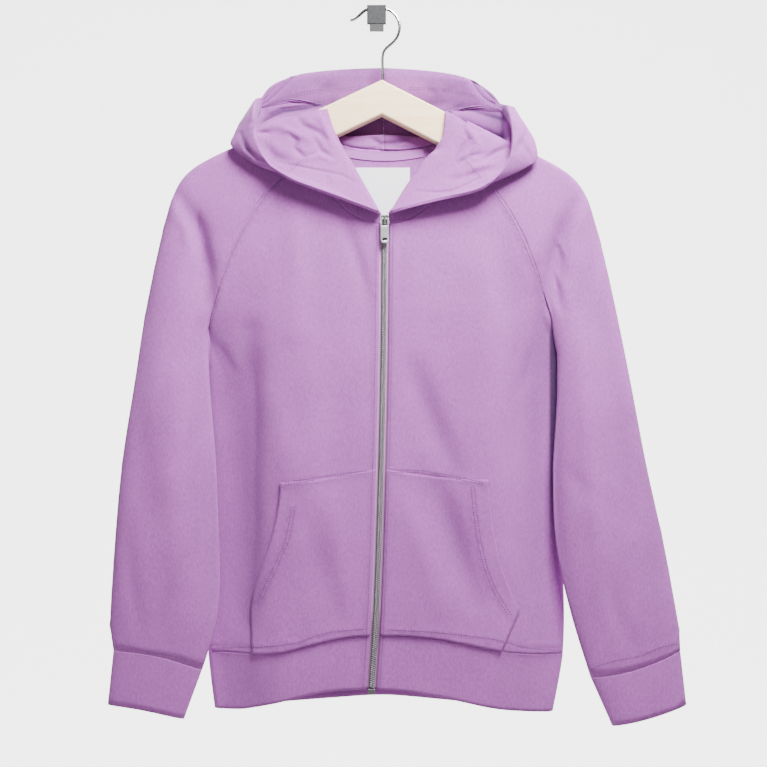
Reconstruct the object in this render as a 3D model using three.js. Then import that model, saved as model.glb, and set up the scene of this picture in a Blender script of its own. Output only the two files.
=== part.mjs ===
// Zip up hoodie hanging on a flat wooden hanger from a square wall hook.
// Millimetres. +Z up, +Y into the wall, and the front of the garment faces -Y.
// The origin is the centre of the wall hook's back face, on the wall.
// Left and right are as seen from the front.
import * as THREE from "three";

// Driving dimensions
const CLOTH = 2; // wall of the sweatshirt cloth
const HEM_CLOTH = 3.4; // folded double at the waistband, cuffs and hood hem
const POCKET_CLOTH = 1.6;
const POCKET_INSET = 0.6; // from the front's folded edge to the pocket's
const POCKET_ABOVE = 0.8; // from the waistband seam up to the pocket's lower edge
const SEAM_GAP = 0.36; // between two sewn pieces
const LAY_GAP = 0.3; // between a piece and the panel it lies on
const EDGE = 5; // half depth of the body's folded side edge
const SWELL = 85; // width over which the body swells from its side to its front
const WOOD_THICK = 16;
const WOOD_Y = -25; // middle plane of the hanger
const ROWS_ABOVE = 12; // rows of each panel above the armpit
const ARM_ROWS = 10; // rows of a sleeve below the armpit
const POCKET_TOP = 0.4417; // the row below the armpit that is the pockets' top
const POCKET_COL = 0.64; // the column of each front that follows its pocket's opening
const POCKET_DROP = 10.5; // how far the pockets' top edge slopes down from the zip
const GROOVE = 0.25; // cosine between two walls that meet in a groove

// Centre front line, from the neck to the hem
const CENTRE = [
  { z: -778, x: -6 },
  { z: -720, x: -2 },
  { z: -666, x: 0.5 },
  { z: -596, x: 3 },
  { z: -490, x: 6 },
  { z: -386, x: 8 },
  { z: -279, x: 9 },
  { z: -239, x: 9.5 },
];

// Depth of the front and back cloth at the middle of the body, and of its side edge
const DEPTHS = [
  { z: -815, front: -41, back: -7, side: -14 },
  { z: -740, front: -43, back: -6, side: -14 },
  { z: -640, front: -45, back: -5, side: -14 },
  { z: -540, front: -46, back: -5, side: -15 },
  { z: -450, front: -45, back: -8, side: -19 },
  { z: -366, front: -44, back: -13, side: -27 },
  { z: -280, front: -42, back: -13.5, side: -27 },
  { z: -200, front: -39, back: -14, side: -27 },
  { z: -110, front: -36, back: -14, side: -27 },
];

// Each side of the garment. Raglan seams and the shoulder ridge run from the neck to
// the armpit, and the arm from the armpit to the cuff.
const SIDES = {
  left: {
    dir: -1,
    seams: [
      { k: 0, rx: -84, rz: -162, ry: -37, gx: -89, gz: -113.5, bx: -68, bz: -134 },
      { k: 1, rx: -108, rz: -184, ry: -38, gx: -126, gz: -131, bx: -87, bz: -162 },
      { k: 2, rx: -130, rz: -206, ry: -39, gx: -164, gz: -149, bx: -109, bz: -192 },
      { k: 3, rx: -151, rz: -238, ry: -40, gx: -201, gz: -166.5, bx: -131, bz: -227 },
      { k: 4, rx: -167, rz: -273, ry: -40, gx: -230, gz: -190, bx: -154, bz: -267 },
      { k: 5, rx: -183, rz: -312, ry: -37, gx: -249, gz: -243, bx: -176, bz: -314 },
      { k: 6, rx: -199, rz: -366, ry: -27, gx: -271, gz: -348, bx: -199, bz: -366 },
    ],
    creases: [
      { k: 3.6, x: -221, z: -212, depth: 0 },
      { k: 4.1, x: -218, z: -228, depth: 4 },
      { k: 4.6, x: -212, z: -256, depth: 10 },
      { k: 5.1, x: -206, z: -292, depth: 13 },
      { k: 5.6, x: -202, z: -330, depth: 8 },
      { k: 6, x: -199, z: -366, depth: 0 },
    ],
    arm: [
      { r: 0, ox: -271, oz: -348, ix: -198, iz: -366, y: -27, half: 17 },
      { r: 0.16, ox: -280, oz: -420, ix: -197, iz: -426, y: -33, half: 18.5 },
      { r: 0.38, ox: -294, oz: -509, ix: -190, iz: -508, y: -35.5, half: 18 },
      { r: 0.59, ox: -302, oz: -594, ix: -186, iz: -586, y: -36, half: 16 },
      { r: 0.79, ox: -307, oz: -665, ix: -182, iz: -656, y: -35.5, half: 14 },
      { r: 0.92, ox: -309.5, oz: -712, ix: -186, iz: -712, y: -35, half: 12.5 },
      { r: 1, ox: -305, oz: -733.5, ix: -202, iz: -756, y: -35, half: 10 },
    ],
    armDip: 6,
    cuff: { ox: -311.5, oz: -796, ix: -223, iz: -813, y: -35, half: 8.5, dip: 3 },
    body: [
      { z: -812, x: -190 },
      { z: -743, x: -198 },
      { z: -668, x: -197.5 },
      { z: -597, x: -197 },
      { z: -510, x: -197 },
      { z: -424, x: -197.5 },
      { z: -366, x: -198.5 },
    ],
    opening: [
      { t: 0.1, s: 0.64 },
      { t: 0.4417, s: 0.556 },
      { t: 0.53, s: 0.564 },
      { t: 0.611, s: 0.593 },
      { t: 0.677, s: 0.626 },
      { t: 0.73, s: 0.665 },
      { t: 0.794, s: 0.711 },
      { t: 0.865, s: 0.7385 },
      { t: 0.935, s: 0.716 },
      { t: 1, s: 0.712 },
    ],
    waistSide: -739,
    hemSide: -806,
    waistFrom: 0.05,
    waistTo: 0.68,
    hemFrom: 0.1,
    hemTo: 0.85,
  },
  right: {
    dir: 1,
    seams: [
      { k: 0, rx: 103, rz: -163, ry: -37, gx: 105, gz: -118.8, bx: 86, bz: -137 },
      { k: 1, rx: 119, rz: -182, ry: -38, gx: 144, gz: -138.6, bx: 104, bz: -164 },
      { k: 2, rx: 137, rz: -201, ry: -39, gx: 179, gz: -156.3, bx: 125, bz: -194 },
      { k: 3, rx: 155, rz: -226, ry: -40, gx: 214, gz: -174.3, bx: 147, bz: -230 },
      { k: 4, rx: 171, rz: -257, ry: -40, gx: 241, gz: -199, bx: 167, bz: -269 },
      { k: 5, rx: 189, rz: -301, ry: -37, gx: 261, gz: -257, bx: 188, bz: -316 },
      { k: 6, rx: 207, rz: -357, ry: -27, gx: 281, gz: -348, bx: 207, bz: -357 },
    ],
    creases: [
      { k: 3.8, x: 233, z: -216, depth: 0 },
      { k: 4.3, x: 227, z: -239, depth: 5 },
      { k: 4.8, x: 216, z: -270, depth: 10 },
      { k: 5.3, x: 207, z: -302, depth: 12 },
      { k: 5.7, x: 206, z: -332, depth: 7 },
      { k: 6, x: 207, z: -357, depth: 0 },
    ],
    arm: [
      { r: 0, ox: 281, oz: -348, ix: 206, iz: -357, y: -27, half: 17 },
      { r: 0.18, ox: 295, oz: -424, ix: 209, iz: -434, y: -33, half: 18.5 },
      { r: 0.42, ox: 313, oz: -522, ix: 206.5, iz: -526, y: -35.5, half: 18 },
      { r: 0.62, ox: 332, oz: -606, ix: 209, iz: -611, y: -36, half: 16 },
      { r: 0.79, ox: 345, oz: -676, ix: 222, iz: -680, y: -35.5, half: 14 },
      { r: 0.92, ox: 352, oz: -715, ix: 236, iz: -728, y: -35, half: 12.5 },
      { r: 1, ox: 352, oz: -733.5, ix: 248, iz: -765, y: -35, half: 10 },
    ],
    armDip: -5,
    cuff: { ox: 359, oz: -796, ix: 273, iz: -821, y: -35, half: 8.5, dip: -2 },
    body: [
      { z: -812, x: 207 },
      { z: -746, x: 219 },
      { z: -682, x: 221 },
      { z: -640, x: 218.5 },
      { z: -597, x: 214.5 },
      { z: -539, x: 211.5 },
      { z: -424, x: 208.5 },
      { z: -357, x: 206.5 },
    ],
    opening: [
      { t: 0.1, s: 0.64 },
      { t: 0.4417, s: 0.584 },
      { t: 0.535, s: 0.5975 },
      { t: 0.622, s: 0.614 },
      { t: 0.698, s: 0.63 },
      { t: 0.774, s: 0.665 },
      { t: 0.823, s: 0.705 },
      { t: 0.865, s: 0.741 },
      { t: 0.935, s: 0.688 },
      { t: 1, s: 0.645 },
    ],
    waistSide: -742,
    hemSide: -810,
    waistFrom: 0.1,
    waistTo: 0.95,
    hemFrom: 0,
    hemTo: 1,
  },
};

// The hood, at stations from the zip (0) round the neck to its centre seam (12). From
// the neck seam the cloth stands up to a roll, falls outward, turns under at a fold,
// and ends at the brim. Behind the neck it falls into a pouch and rises to the brim.
const HOOD = {
  left: [
    {
      u: 0,
      roll: [3.4, -44, -230], fall: [3, -46, -230],
      far: [2.5, -48, -230], fold: [2.5, -50, -229], brim: [2, -52, -230],
    },
    {
      u: 1,
      roll: [-5, -40, -213], fall: [-16, -46, -216],
      far: [-25, -50, -218], fold: [-30, -54, -217], brim: [-35, -57, -217],
    },
    {
      u: 2,
      roll: [-17, -38, -191], fall: [-36, -45, -195],
      far: [-53, -50, -200], fold: [-64, -54, -201], brim: [-73, -58, -203],
    },
    {
      u: 3,
      roll: [-28, -37.5, -170], fall: [-54, -43, -175],
      far: [-79, -48, -182], fold: [-95, -53, -188], brim: [-106, -58, -190],
    },
    {
      u: 4,
      roll: [-39, -37, -152], fall: [-71, -42, -158],
      far: [-107, -46, -168], fold: [-133, -50, -177], brim: [-126, -59, -171],
    },
    {
      u: 5,
      roll: [-46, -37, -139], fall: [-83, -41, -140],
      far: [-132, -41, -144], fold: [-166, -46, -153], brim: [-136, -59, -150],
    },
    {
      u: 6,
      roll: [-54, -37, -122], fall: [-88, -40, -122],
      far: [-137, -37, -122], fold: [-164, -42, -137], brim: [-140, -56, -132],
    },
    {
      u: 6.4,
      roll: [-58, -36.8, -107], fall: [-89, -38, -111],
      far: [-136, -34, -113], fold: [-161, -39, -129], brim: [-140, -54, -122],
    },
    {
      u: 6.7,
      roll: [-60.5, -35, -99], fall: [-90, -35, -104],
      far: [-135, -31, -107], fold: [-159, -36.5, -123], brim: [-140, -52, -115],
    },
    {
      u: 7,
      roll: [-62, -25, -97.5], fall: [-91, -31, -98],
      far: [-134, -28, -102], fold: [-156, -34, -118], brim: [-139, -50, -108],
    },
    {
      u: 7.3,
      roll: [-61.5, -15, -99], fall: [-88, -24, -96],
      far: [-130, -23, -98], fold: [-153, -30, -111], brim: [-138.5, -46, -102],
    },
    {
      u: 7.6,
      roll: [-60, -12.6, -104], fall: [-85, -17, -95],
      far: [-126, -18, -94], fold: [-149, -26, -104], brim: [-137.5, -43, -96],
    },
    {
      u: 8,
      roll: [-57, -12, -110], fall: [-79, -11, -94],
      far: [-120, -12, -90], fold: [-144, -20, -97], brim: [-136, -38, -90],
    },
    {
      u: 9,
      roll: [-50, -12, -126], fall: [-68, -10.5, -120],
      far: [-112, -8, -150], fold: [-127, -6, -110], brim: [-122, -24, -72],
    },
    {
      u: 10,
      roll: [-36, -12, -136], fall: [-52, -11.4, -190],
      far: [-84, -7, -256], fold: [-98, -3, -160], brim: [-91, -12, -60],
    },
    {
      u: 11,
      roll: [-15, -12, -136], fall: [-24, -11.4, -232],
      far: [-42, -6.5, -334], fold: [-50, -2, -208], brim: [-43, -4, -53],
    },
    {
      u: 12,
      roll: [9, -12, -136], fall: [9, -11.2, -249],
      far: [9, -6.5, -361], fold: [9, -1.8, -218], brim: [7, -2.6, -51],
    },
  ],
  right: [
    {
      u: 0,
      roll: [15.4, -44, -230], fall: [15.6, -46, -230],
      far: [16, -48, -230], fold: [16, -50, -229], brim: [16.4, -52, -230],
    },
    {
      u: 1,
      roll: [25, -40, -214], fall: [35, -46, -217],
      far: [44, -50, -220], fold: [50, -54, -221], brim: [54, -57, -220],
    },
    {
      u: 2,
      roll: [35, -38, -196], fall: [55, -45, -201],
      far: [73, -50, -208], fold: [83, -54, -211], brim: [92, -58, -212],
    },
    {
      u: 3,
      roll: [47, -37.5, -179], fall: [73, -43, -185],
      far: [98, -48, -195], fold: [114, -53, -202], brim: [125, -58, -203],
    },
    {
      u: 4,
      roll: [58, -37, -163], fall: [90, -42, -169],
      far: [125, -46, -182], fold: [154, -51, -186], brim: [145, -59, -180],
    },
    {
      u: 5,
      roll: [70, -37, -153], fall: [106, -41, -155],
      far: [147, -41, -160], fold: [183, -46, -169], brim: [153, -59, -164],
    },
    {
      u: 6,
      roll: [78, -37, -137], fall: [113, -40, -137],
      far: [152, -37, -136], fold: [184, -42, -150], brim: [156, -56, -145],
    },
    {
      u: 6.4,
      roll: [80, -36.8, -117], fall: [113, -38, -125],
      far: [152, -34, -126], fold: [181, -39, -140], brim: [156, -54, -135],
    },
    {
      u: 6.7,
      roll: [81, -35, -107], fall: [112, -35, -115],
      far: [151, -31, -119], fold: [178, -36.5, -134], brim: [155, -52, -128],
    },
    {
      u: 7,
      roll: [82, -25, -105], fall: [111, -31, -108],
      far: [150, -28, -113], fold: [175, -34, -128], brim: [154, -50, -121],
    },
    {
      u: 7.3,
      roll: [81.5, -15, -107], fall: [108, -24, -105],
      far: [146, -23, -108], fold: [171, -30, -120], brim: [153, -46, -115],
    },
    {
      u: 7.6,
      roll: [80, -12.6, -112], fall: [105, -17, -103],
      far: [141, -18, -103], fold: [166, -26, -111], brim: [151.5, -43, -110],
    },
    {
      u: 8,
      roll: [76, -12, -117], fall: [101, -11, -102],
      far: [134, -12, -97], fold: [160, -20, -100], brim: [149, -38, -104],
    },
    {
      u: 9,
      roll: [70, -12, -131], fall: [87, -10.5, -124],
      far: [126, -8, -154], fold: [143, -6, -114], brim: [135, -24, -82],
    },
    {
      u: 10,
      roll: [56, -12, -137], fall: [71, -11.4, -193],
      far: [102, -7, -258], fold: [114, -3, -163], brim: [105, -12, -63],
    },
    {
      u: 11,
      roll: [32, -12, -136], fall: [42, -11.4, -233],
      far: [60, -6.5, -334], fold: [67, -2, -208], brim: [56, -4, -54],
    },
    {
      u: 12,
      roll: [9, -12, -136], fall: [9, -11.2, -249],
      far: [9, -6.5, -361], fold: [9, -1.8, -218], brim: [7, -2.6, -51],
    },
  ],
};
const HOOD_SPOTS = [["roll", 0.18], ["fall", 0.42], ["far", 0.66], ["fold", 0.84], ["brim", 1]];
const HOOD_ROWS = [0, 0.06, 0.12, 0.18, 0.26, 0.34, 0.42, 0.5, 0.58, 0.66, 0.75, 0.84, 0.92, 1];
const HEM_FROM = 0.9; // where the hood's turned and stitched hem starts

const NECK_FRONT = -241; // height of the zip's top at the neck
const NECK_SAG = 19; // how far the front neckline bows below its chord
const NECK_BACK = -150;
const NECK_BACK_SAG = 5;
const ARMPIT_CENTRE = -372;
const WAIST_CENTRE = -715;
const HEM_CENTRE = -778;
const BACK_WAIST = -727;
const BACK_HEM = -791;
const ZIP_HALF = 5.8; // from the centre line to the folded edge of each front

// Soft folds of the fronts: a line from the top to the bottom, its width, and its depth
const FOLDS = [
  { x0: -150, z0: -330, x1: -146, z1: -700, wide: 26, depth: 5 },
  { x0: 44, z0: -410, x1: 96, z1: -520, wide: 17, depth: 3.2 },
  { x0: 70, z0: -540, x1: 120, z1: -690, wide: 22, depth: 4 },
  { x0: 26, z0: -545, x1: 66, z1: -680, wide: 14, depth: -2.6 },
  { x0: 150, z0: -250, x1: 196, z1: -440, wide: 24, depth: 3 },
];

// Small numerical helpers
const clamp = (v, lo, hi) => Math.min(hi, Math.max(lo, v));
const lerp = (a, b, t) => a + (b - a) * t;
const smooth = (a, b, v) => {
  const t = clamp((v - a) / (b - a), 0, 1);
  return t * t * (3 - 2 * t);
};
const steps = (n) => Array.from({ length: n + 1 }, (_, i) => i / n);

// A smooth curve through one column of a table, over its first column
function curve(rows, key, over) {
  const xs = rows.map((row) => row[over]);
  const ys = rows.map((row) => row[key]);
  const last = xs.length - 1;
  const slope = xs.map((_, i) => {
    const a = Math.max(0, i - 1);
    const b = Math.min(last, i + 1);
    return (ys[b] - ys[a]) / (xs[b] - xs[a]);
  });
  return (x) => {
    const v = clamp(x, xs[0], xs[last]);
    let i = 0;
    while (i < last - 1 && v > xs[i + 1]) i += 1;
    const h = xs[i + 1] - xs[i];
    const t = (v - xs[i]) / h;
    const a = 1 + 2 * t;
    const b = 1 - t;
    return (
      a * b * b * ys[i] +
      t * b * b * h * slope[i] +
      t * t * (3 - 2 * t) * ys[i + 1] +
      t * t * (t - 1) * h * slope[i + 1]
    );
  };
}

const centreX = curve(CENTRE, "x", "z");
const frontDepth = curve(DEPTHS, "front", "z");
const backDepth = curve(DEPTHS, "back", "z");
const sideDepth = curve(DEPTHS, "side", "z");

for (const side of Object.values(SIDES)) {
  const pit = side.seams[6];
  pit.ry = sideDepth(pit.rz);
  side.arm[0].y = pit.ry;
  for (const key of ["rx", "rz", "ry", "gx", "gz", "bx", "bz"]) side[key] = curve(side.seams, key, "k");
  side.bodyX = curve(side.body, "x", "z");
  side.openAt = curve(side.opening, "s", "t");
  const byHeight = side.seams.map((row) => ({ z: row.rz, x: row.rx, y: row.ry })).reverse();
  side.raglanX = curve(byHeight, "x", "z");
  side.raglanY = curve(byHeight, "y", "z");
  const backByHeight = side.seams.map((row) => ({ z: row.bz, x: row.bx })).reverse();
  side.backRaglanX = curve(backByHeight, "x", "z");
  side.armpit = side.seams[6].rz;
}

// How much of the side edge's fold there is at a height: all below the armpit
const folded = (side, z) => 1 - smooth(side.armpit, side.armpit + 60, z);

function foldDepth(x, z) {
  let sum = 0;
  for (const fold of FOLDS) {
    const dx = fold.x1 - fold.x0;
    const dz = fold.z1 - fold.z0;
    const t = ((x - fold.x0) * dx + (z - fold.z0) * dz) / (dx * dx + dz * dz);
    const u = clamp(t, 0, 1);
    const off = Math.hypot(x - fold.x0 - u * dx, z - fold.z0 - u * dz) / fold.wide;
    sum += fold.depth * Math.exp(-off * off) * smooth(-0.25, 0.25, t) * smooth(1.3, 0.8, t);
  }
  return sum;
}

// Outer surface of a front, over its height and its distance from the centre line
function frontY(side, x, z) {
  const below = z <= side.armpit;
  const edgeX = below ? side.bodyX(z) : side.raglanX(z);
  const edgeY = below ? sideDepth(z) : side.raglanY(z);
  const d = Math.max(0, (edgeX - x) * side.dir);
  const fold = EDGE * folded(side, z);
  const round = Math.sqrt(1 - (1 - Math.min(d / EDGE, 1)) ** 2);
  const swell = smooth(0, SWELL, d);
  const fade = smooth(8, 50, d) * smooth(8, 34, (x - centreX(z)) * side.dir);
  return edgeY - fold * round + (frontDepth(z) + fold - edgeY) * swell + foldDepth(x, z) * fade;
}

// Depth of the back's own edge: the raglan seam, and below the armpit the side seam
const backEdgeY = (side, z) => lerp(backDepth(z), sideDepth(z), folded(side, z));

function backY(side, x, z) {
  const below = z <= side.armpit;
  const edgeX = below ? side.bodyX(z) : side.backRaglanX(z);
  const edgeY = backEdgeY(side, z);
  const d = Math.max(0, (edgeX - x) * side.dir);
  const fold = EDGE * folded(side, z);
  const round = Math.sqrt(1 - (1 - Math.min(d / EDGE, 1)) ** 2);
  return edgeY + fold * round + (backDepth(z) - fold - edgeY) * smooth(0, SWELL, d);
}

// A grid of points with normals that point out of the garment
function grid(rows, cols, at, flip = 1) {
  const pts = rows.map((r) => cols.map((c) => at(r, c)));
  const nrm = pts.map((row, i) =>
    row.map((_, j) => {
      const up = pts[Math.max(0, i - 1)][j];
      const down = pts[Math.min(pts.length - 1, i + 1)][j];
      const before = row[Math.max(0, j - 1)];
      const after = row[Math.min(row.length - 1, j + 1)];
      const along = new THREE.Vector3().subVectors(after, before);
      const across = new THREE.Vector3().subVectors(down, up);
      return across.cross(along).normalize().multiplyScalar(flip);
    }),
  );
  return { pts, nrm };
}

const column = (g, j, from = 0, to = g.pts.length - 1) =>
  Array.from({ length: to - from + 1 }, (_, i) => [g, from + i, j < 0 ? g.pts[0].length + j : j]);
const row = (g, i, from = 0, to = g.pts[0].length - 1) =>
  Array.from({ length: to - from + 1 }, (_, j) => [g, i < 0 ? g.pts.length + i : i, from + j]);

// Two sewn edges share their normals, so that their walls end face to face. In a groove
// steeper than the limit each wall keeps its own.
function sew(edgeA, edgeB, limit = -1) {
  edgeA.forEach(([ga, ia, ja], n) => {
    const [gb, ib, jb] = edgeB[n];
    if (ga.nrm[ia][ja].dot(gb.nrm[ib][jb]) < limit) return;
    const mean = ga.nrm[ia][ja].clone().add(gb.nrm[ib][jb]).normalize();
    ga.nrm[ia][ja] = mean;
    gb.nrm[ib][jb] = mean.clone();
  });
}

// Each edge of a grid is drawn in by half a seam gap, away from what it is sewn to
function drawIn(g, edges) {
  const last = g.pts.length - 1;
  const end = g.pts[0].length - 1;
  const pull = (p, q) => p.add(new THREE.Vector3().subVectors(q, p).setLength(SEAM_GAP / 2));
  if (edges.includes("top")) g.pts[0].forEach((p, j) => pull(p, g.pts[1][j]));
  if (edges.includes("bottom")) g.pts[last].forEach((p, j) => pull(p, g.pts[last - 1][j]));
  if (edges.includes("start")) g.pts.forEach((r) => pull(r[0], r[1]));
  if (edges.includes("end")) g.pts.forEach((r) => pull(r[end], r[end - 1]));
}

// A closed wall between a grid and the same grid moved in along its normals
function wall(g, thick, ring = false) {
  const n = g.pts.length;
  const m = g.pts[0].length;
  const depth = typeof thick === "function" ? thick : () => thick;
  const flat = [];
  g.pts.forEach((r) => r.forEach((p) => flat.push(p.x, p.y, p.z)));
  g.pts.forEach((r, i) =>
    r.forEach((p, j) => {
      const q = p.clone().addScaledVector(g.nrm[i][j], -depth(i, j));
      flat.push(q.x, q.y, q.z);
    }),
  );
  const out = (i, j) => i * m + (j % m);
  const inn = (i, j) => n * m + out(i, j);
  const index = [];
  const quad = (a, b, c, d) => index.push(a, b, c, a, c, d);
  const cols = ring ? m : m - 1;
  for (let i = 0; i < n - 1; i += 1) {
    for (let j = 0; j < cols; j += 1) {
      quad(out(i, j), out(i + 1, j), out(i + 1, j + 1), out(i, j + 1));
      quad(inn(i, j), inn(i, j + 1), inn(i + 1, j + 1), inn(i + 1, j));
    }
  }
  for (let j = 0; j < cols; j += 1) {
    quad(out(0, j), out(0, j + 1), inn(0, j + 1), inn(0, j));
    quad(out(n - 1, j + 1), out(n - 1, j), inn(n - 1, j), inn(n - 1, j + 1));
  }
  if (!ring) {
    for (let i = 0; i < n - 1; i += 1) {
      quad(out(i + 1, 0), out(i, 0), inn(i, 0), inn(i + 1, 0));
      quad(out(i, m - 1), out(i + 1, m - 1), inn(i + 1, m - 1), inn(i, m - 1));
    }
  }
  return solid(flat, index);
}

// Geometry with its faces turned to point out
function solid(flat, index) {
  let volume = 0;
  const a = new THREE.Vector3();
  const b = new THREE.Vector3();
  const c = new THREE.Vector3();
  for (let i = 0; i < index.length; i += 3) {
    a.fromArray(flat, index[i] * 3);
    b.fromArray(flat, index[i + 1] * 3);
    c.fromArray(flat, index[i + 2] * 3);
    volume += a.dot(b.cross(c));
  }
  if (volume < 0) {
    for (let i = 0; i < index.length; i += 3) {
      [index[i + 1], index[i + 2]] = [index[i + 2], index[i + 1]];
    }
  }
  const geometry = new THREE.BufferGeometry();
  geometry.setAttribute("position", new THREE.Float32BufferAttribute(flat, 3));
  geometry.setIndex(index);
  geometry.computeVertexNormals();
  return geometry;
}

// Materials
const material = (color, roughness, metalness = 0) =>
  new THREE.MeshStandardMaterial({ color, roughness, metalness });
const LOOKS = {
  cloth: material(0xc39ac6, 0.95),
  tape: material(0xc9a4c8, 0.9),
  label: material(0xf0eff2, 0.85),
  metal: material(0x9a9a9c, 0.35, 0.9),
  wire: material(0xc9cacb, 0.2, 1),
  wood: material(0xf3e2c6, 0.6),
  hook: material(0x72767a, 0.6, 0.4),
};
const hoodie = new THREE.Group();
function piece(name, geometry, look) {
  const mesh = new THREE.Mesh(geometry, LOOKS[look]);
  mesh.name = name;
  hoodie.add(mesh);
  return mesh;
}

// Body panels. A row is a number: 0 at the neck, 6 at the armpit, and 7 at the waistband.
const ROWS = [
  ...steps(ROWS_ABOVE).map((t) => t * 6),
  ...[0.09, 0.18, 0.27, 0.355, POCKET_TOP, 0.51, 0.58, 0.65, 0.72, 0.79, 0.865, 0.935, 1].map((t) => 6 + t),
];

function frontPoint(side, r, s) {
  if (r <= 6) {
    const cz = lerp(NECK_FRONT, ARMPIT_CENTRE, r / 6);
    const cx = centreX(cz) + ZIP_HALF * side.dir;
    const sag = NECK_SAG * (1 - r / 6) ** 1.5 * Math.sin(Math.PI * s) ** 0.9;
    const x = lerp(cx, side.rx(r), s);
    const z = lerp(cz, side.rz(r), s) - sag;
    const y = s === 1 ? side.ry(r) : frontY(side, x, z);
    return new THREE.Vector3(x, y, z);
  }
  const t = r - 6;
  const cz = lerp(ARMPIT_CENTRE, WAIST_CENTRE, t);
  const sz = lerp(side.armpit, side.waistSide, t);
  const open = side.openAt(t);
  const across = s < POCKET_COL ? (s * open) / POCKET_COL : 1 - ((1 - s) * (1 - open)) / (1 - POCKET_COL);
  const bend = lerp(across, smooth(side.waistFrom, side.waistTo, across), t * t);
  const near = Math.exp(-(((t - POCKET_TOP) / 0.2) ** 2)) * (1 - t ** 4);
  const drop = POCKET_DROP * Math.sin(Math.PI * across) * near;
  const z = lerp(cz, sz, bend) - drop;
  const x = lerp(centreX(z) + ZIP_HALF * side.dir, side.bodyX(z), across);
  const y = s === 1 ? sideDepth(z) : frontY(side, x, z);
  return new THREE.Vector3(x, y, z);
}

// The back in halves, from the centre to each side
function backPoint(side, r, s) {
  if (r <= 6) {
    const cz = lerp(NECK_BACK, -365, (r / 6) ** 0.9);
    const cx = 9;
    const sag = NECK_BACK_SAG * (1 - r / 6) ** 2 * Math.sin(Math.PI * s);
    const x = lerp(cx, side.bx(r), s);
    const z = lerp(cz, side.bz(r), s) - sag;
    const y = s === 1 ? backEdgeY(side, z) : backY(side, x, z);
    return new THREE.Vector3(x, y, z);
  }
  const t = r - 6;
  const z = lerp(lerp(-365, BACK_WAIST, t), lerp(side.armpit, side.waistSide, t), s);
  const x = lerp(lerp(9, 12, t), side.bodyX(z), s);
  const y = s === 1 ? sideDepth(z) : backY(side, x, z);
  return new THREE.Vector3(x, y, z);
}

const FRONT_COLS = [0, 0.13, 0.27, 0.4, 0.52, 0.64, 0.75, 0.85, 0.93, 0.975, 1];
const BACK_COLS = [0, 0.2, 0.4, 0.6, 0.78, 0.9, 0.965, 1];

const fronts = {};
for (const [name, side] of Object.entries(SIDES)) {
  fronts[name] = grid(ROWS, FRONT_COLS, (r, s) => frontPoint(side, r, s), side.dir);
}
const backCols = [...BACK_COLS.map((s) => -s).reverse(), ...BACK_COLS.slice(1)];
const back = grid(
  ROWS,
  backCols,
  (r, s) => backPoint(s < 0 ? SIDES.left : SIDES.right, r, Math.abs(s)),
  -1,
);

// Sleeves above the armpit: from the front raglan seam over the ridge to the back one
function sleevePoint(side, k, t) {
  const q = Math.abs(t);
  const ridge = new THREE.Vector3(side.gx(k), WOOD_Y, side.gz(k));
  const seam = t < 0
    ? new THREE.Vector3(side.rx(k), side.ry(k), side.rz(k))
    : new THREE.Vector3(side.bx(k), backEdgeY(side, side.bz(k)), side.bz(k));
  const midY = lerp(WOOD_Y, side.arm[0].y, smooth(4, 6, k));
  const wide = Math.hypot(seam.x - ridge.x, seam.z - ridge.z);
  const round = lerp(9, wide / 2, smooth(3.6, 6, k));
  const half = lerp(11.2, side.arm[0].half, smooth(3.5, 6, k));
  const power = lerp(4.2, 2, smooth(3, 5, k));
  const edge = 0.34;
  const a = (Math.min(q / edge, 1) * Math.PI) / 2;
  const openD = q < edge
    ? round * (1 - Math.cos(a) ** (2 / power))
    : lerp(round, wide, (q - edge) / (1 - edge));
  const seamHalf = Math.abs(seam.y - midY);
  const rise = q < edge
    ? half * Math.sin(a) ** (2 / power)
    : lerp(half, seamHalf, smooth(round, wide, openD));
  const closed = smooth(4.6, 6, k);
  const ring = ellipse(wide, side.arm[0].half, q);
  let d = lerp(openD, ring.d, closed);
  let h = lerp(rise, Math.max(ring.h, seamHalf * smooth(0.5, 0.9, q)), closed);
  h -= creaseDepth(side, k, ridge, d) * smooth(0, 16, wide - d) * (t < 0 ? 1 : 0.6);
  if (q === 1) {
    d = wide;
    h = seamHalf;
  }
  const f = d / wide;
  return new THREE.Vector3(lerp(ridge.x, seam.x, f), midY + Math.sign(t) * h, lerp(ridge.z, seam.z, f));
}

// Half of a flattened ring, from the outer edge at 0 to the inner edge at 1
function ellipse(wide, half, q) {
  const angle = Math.PI * q;
  return { d: (wide / 2) * (1 - Math.cos(angle)), h: half * Math.sin(angle) ** 0.8 };
}

function creaseDepth(side, k, ridge, d) {
  const rows = side.creases;
  if (k <= rows[0].k || k >= 6) return 0;
  const at = (key) => curve(rows, key, "k")(k);
  const off = d - Math.hypot(at("x") - ridge.x, at("z") - ridge.z);
  const wide = off < 0 ? 9 : 20;
  return Math.max(0, at("depth")) * Math.exp(-((off / wide) ** 2));
}

const ARM_KEYS = ["ox", "oz", "ix", "iz", "y", "half"];
function armPoint(side, r, t) {
  const at = {};
  for (const key of ARM_KEYS) at[key] = side.armCurves[key](r);
  return ringPoint(at, t, side.armDip * smooth(0.6, 1, r));
}

// A point on a flattened ring: t runs from -1 at the inner edge, over the front, to 1
function ringPoint(at, t, dip) {
  const q = Math.abs(t);
  const wide = Math.hypot(at.ix - at.ox, at.iz - at.oz);
  const { d, h } = ellipse(wide, at.half, q);
  const f = d / wide;
  const down = Math.sin(Math.PI * f) * dip;
  return new THREE.Vector3(
    lerp(at.ox, at.ix, f),
    at.y + Math.sign(t) * h,
    lerp(at.oz, at.iz, f) + down,
  );
}

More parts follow.
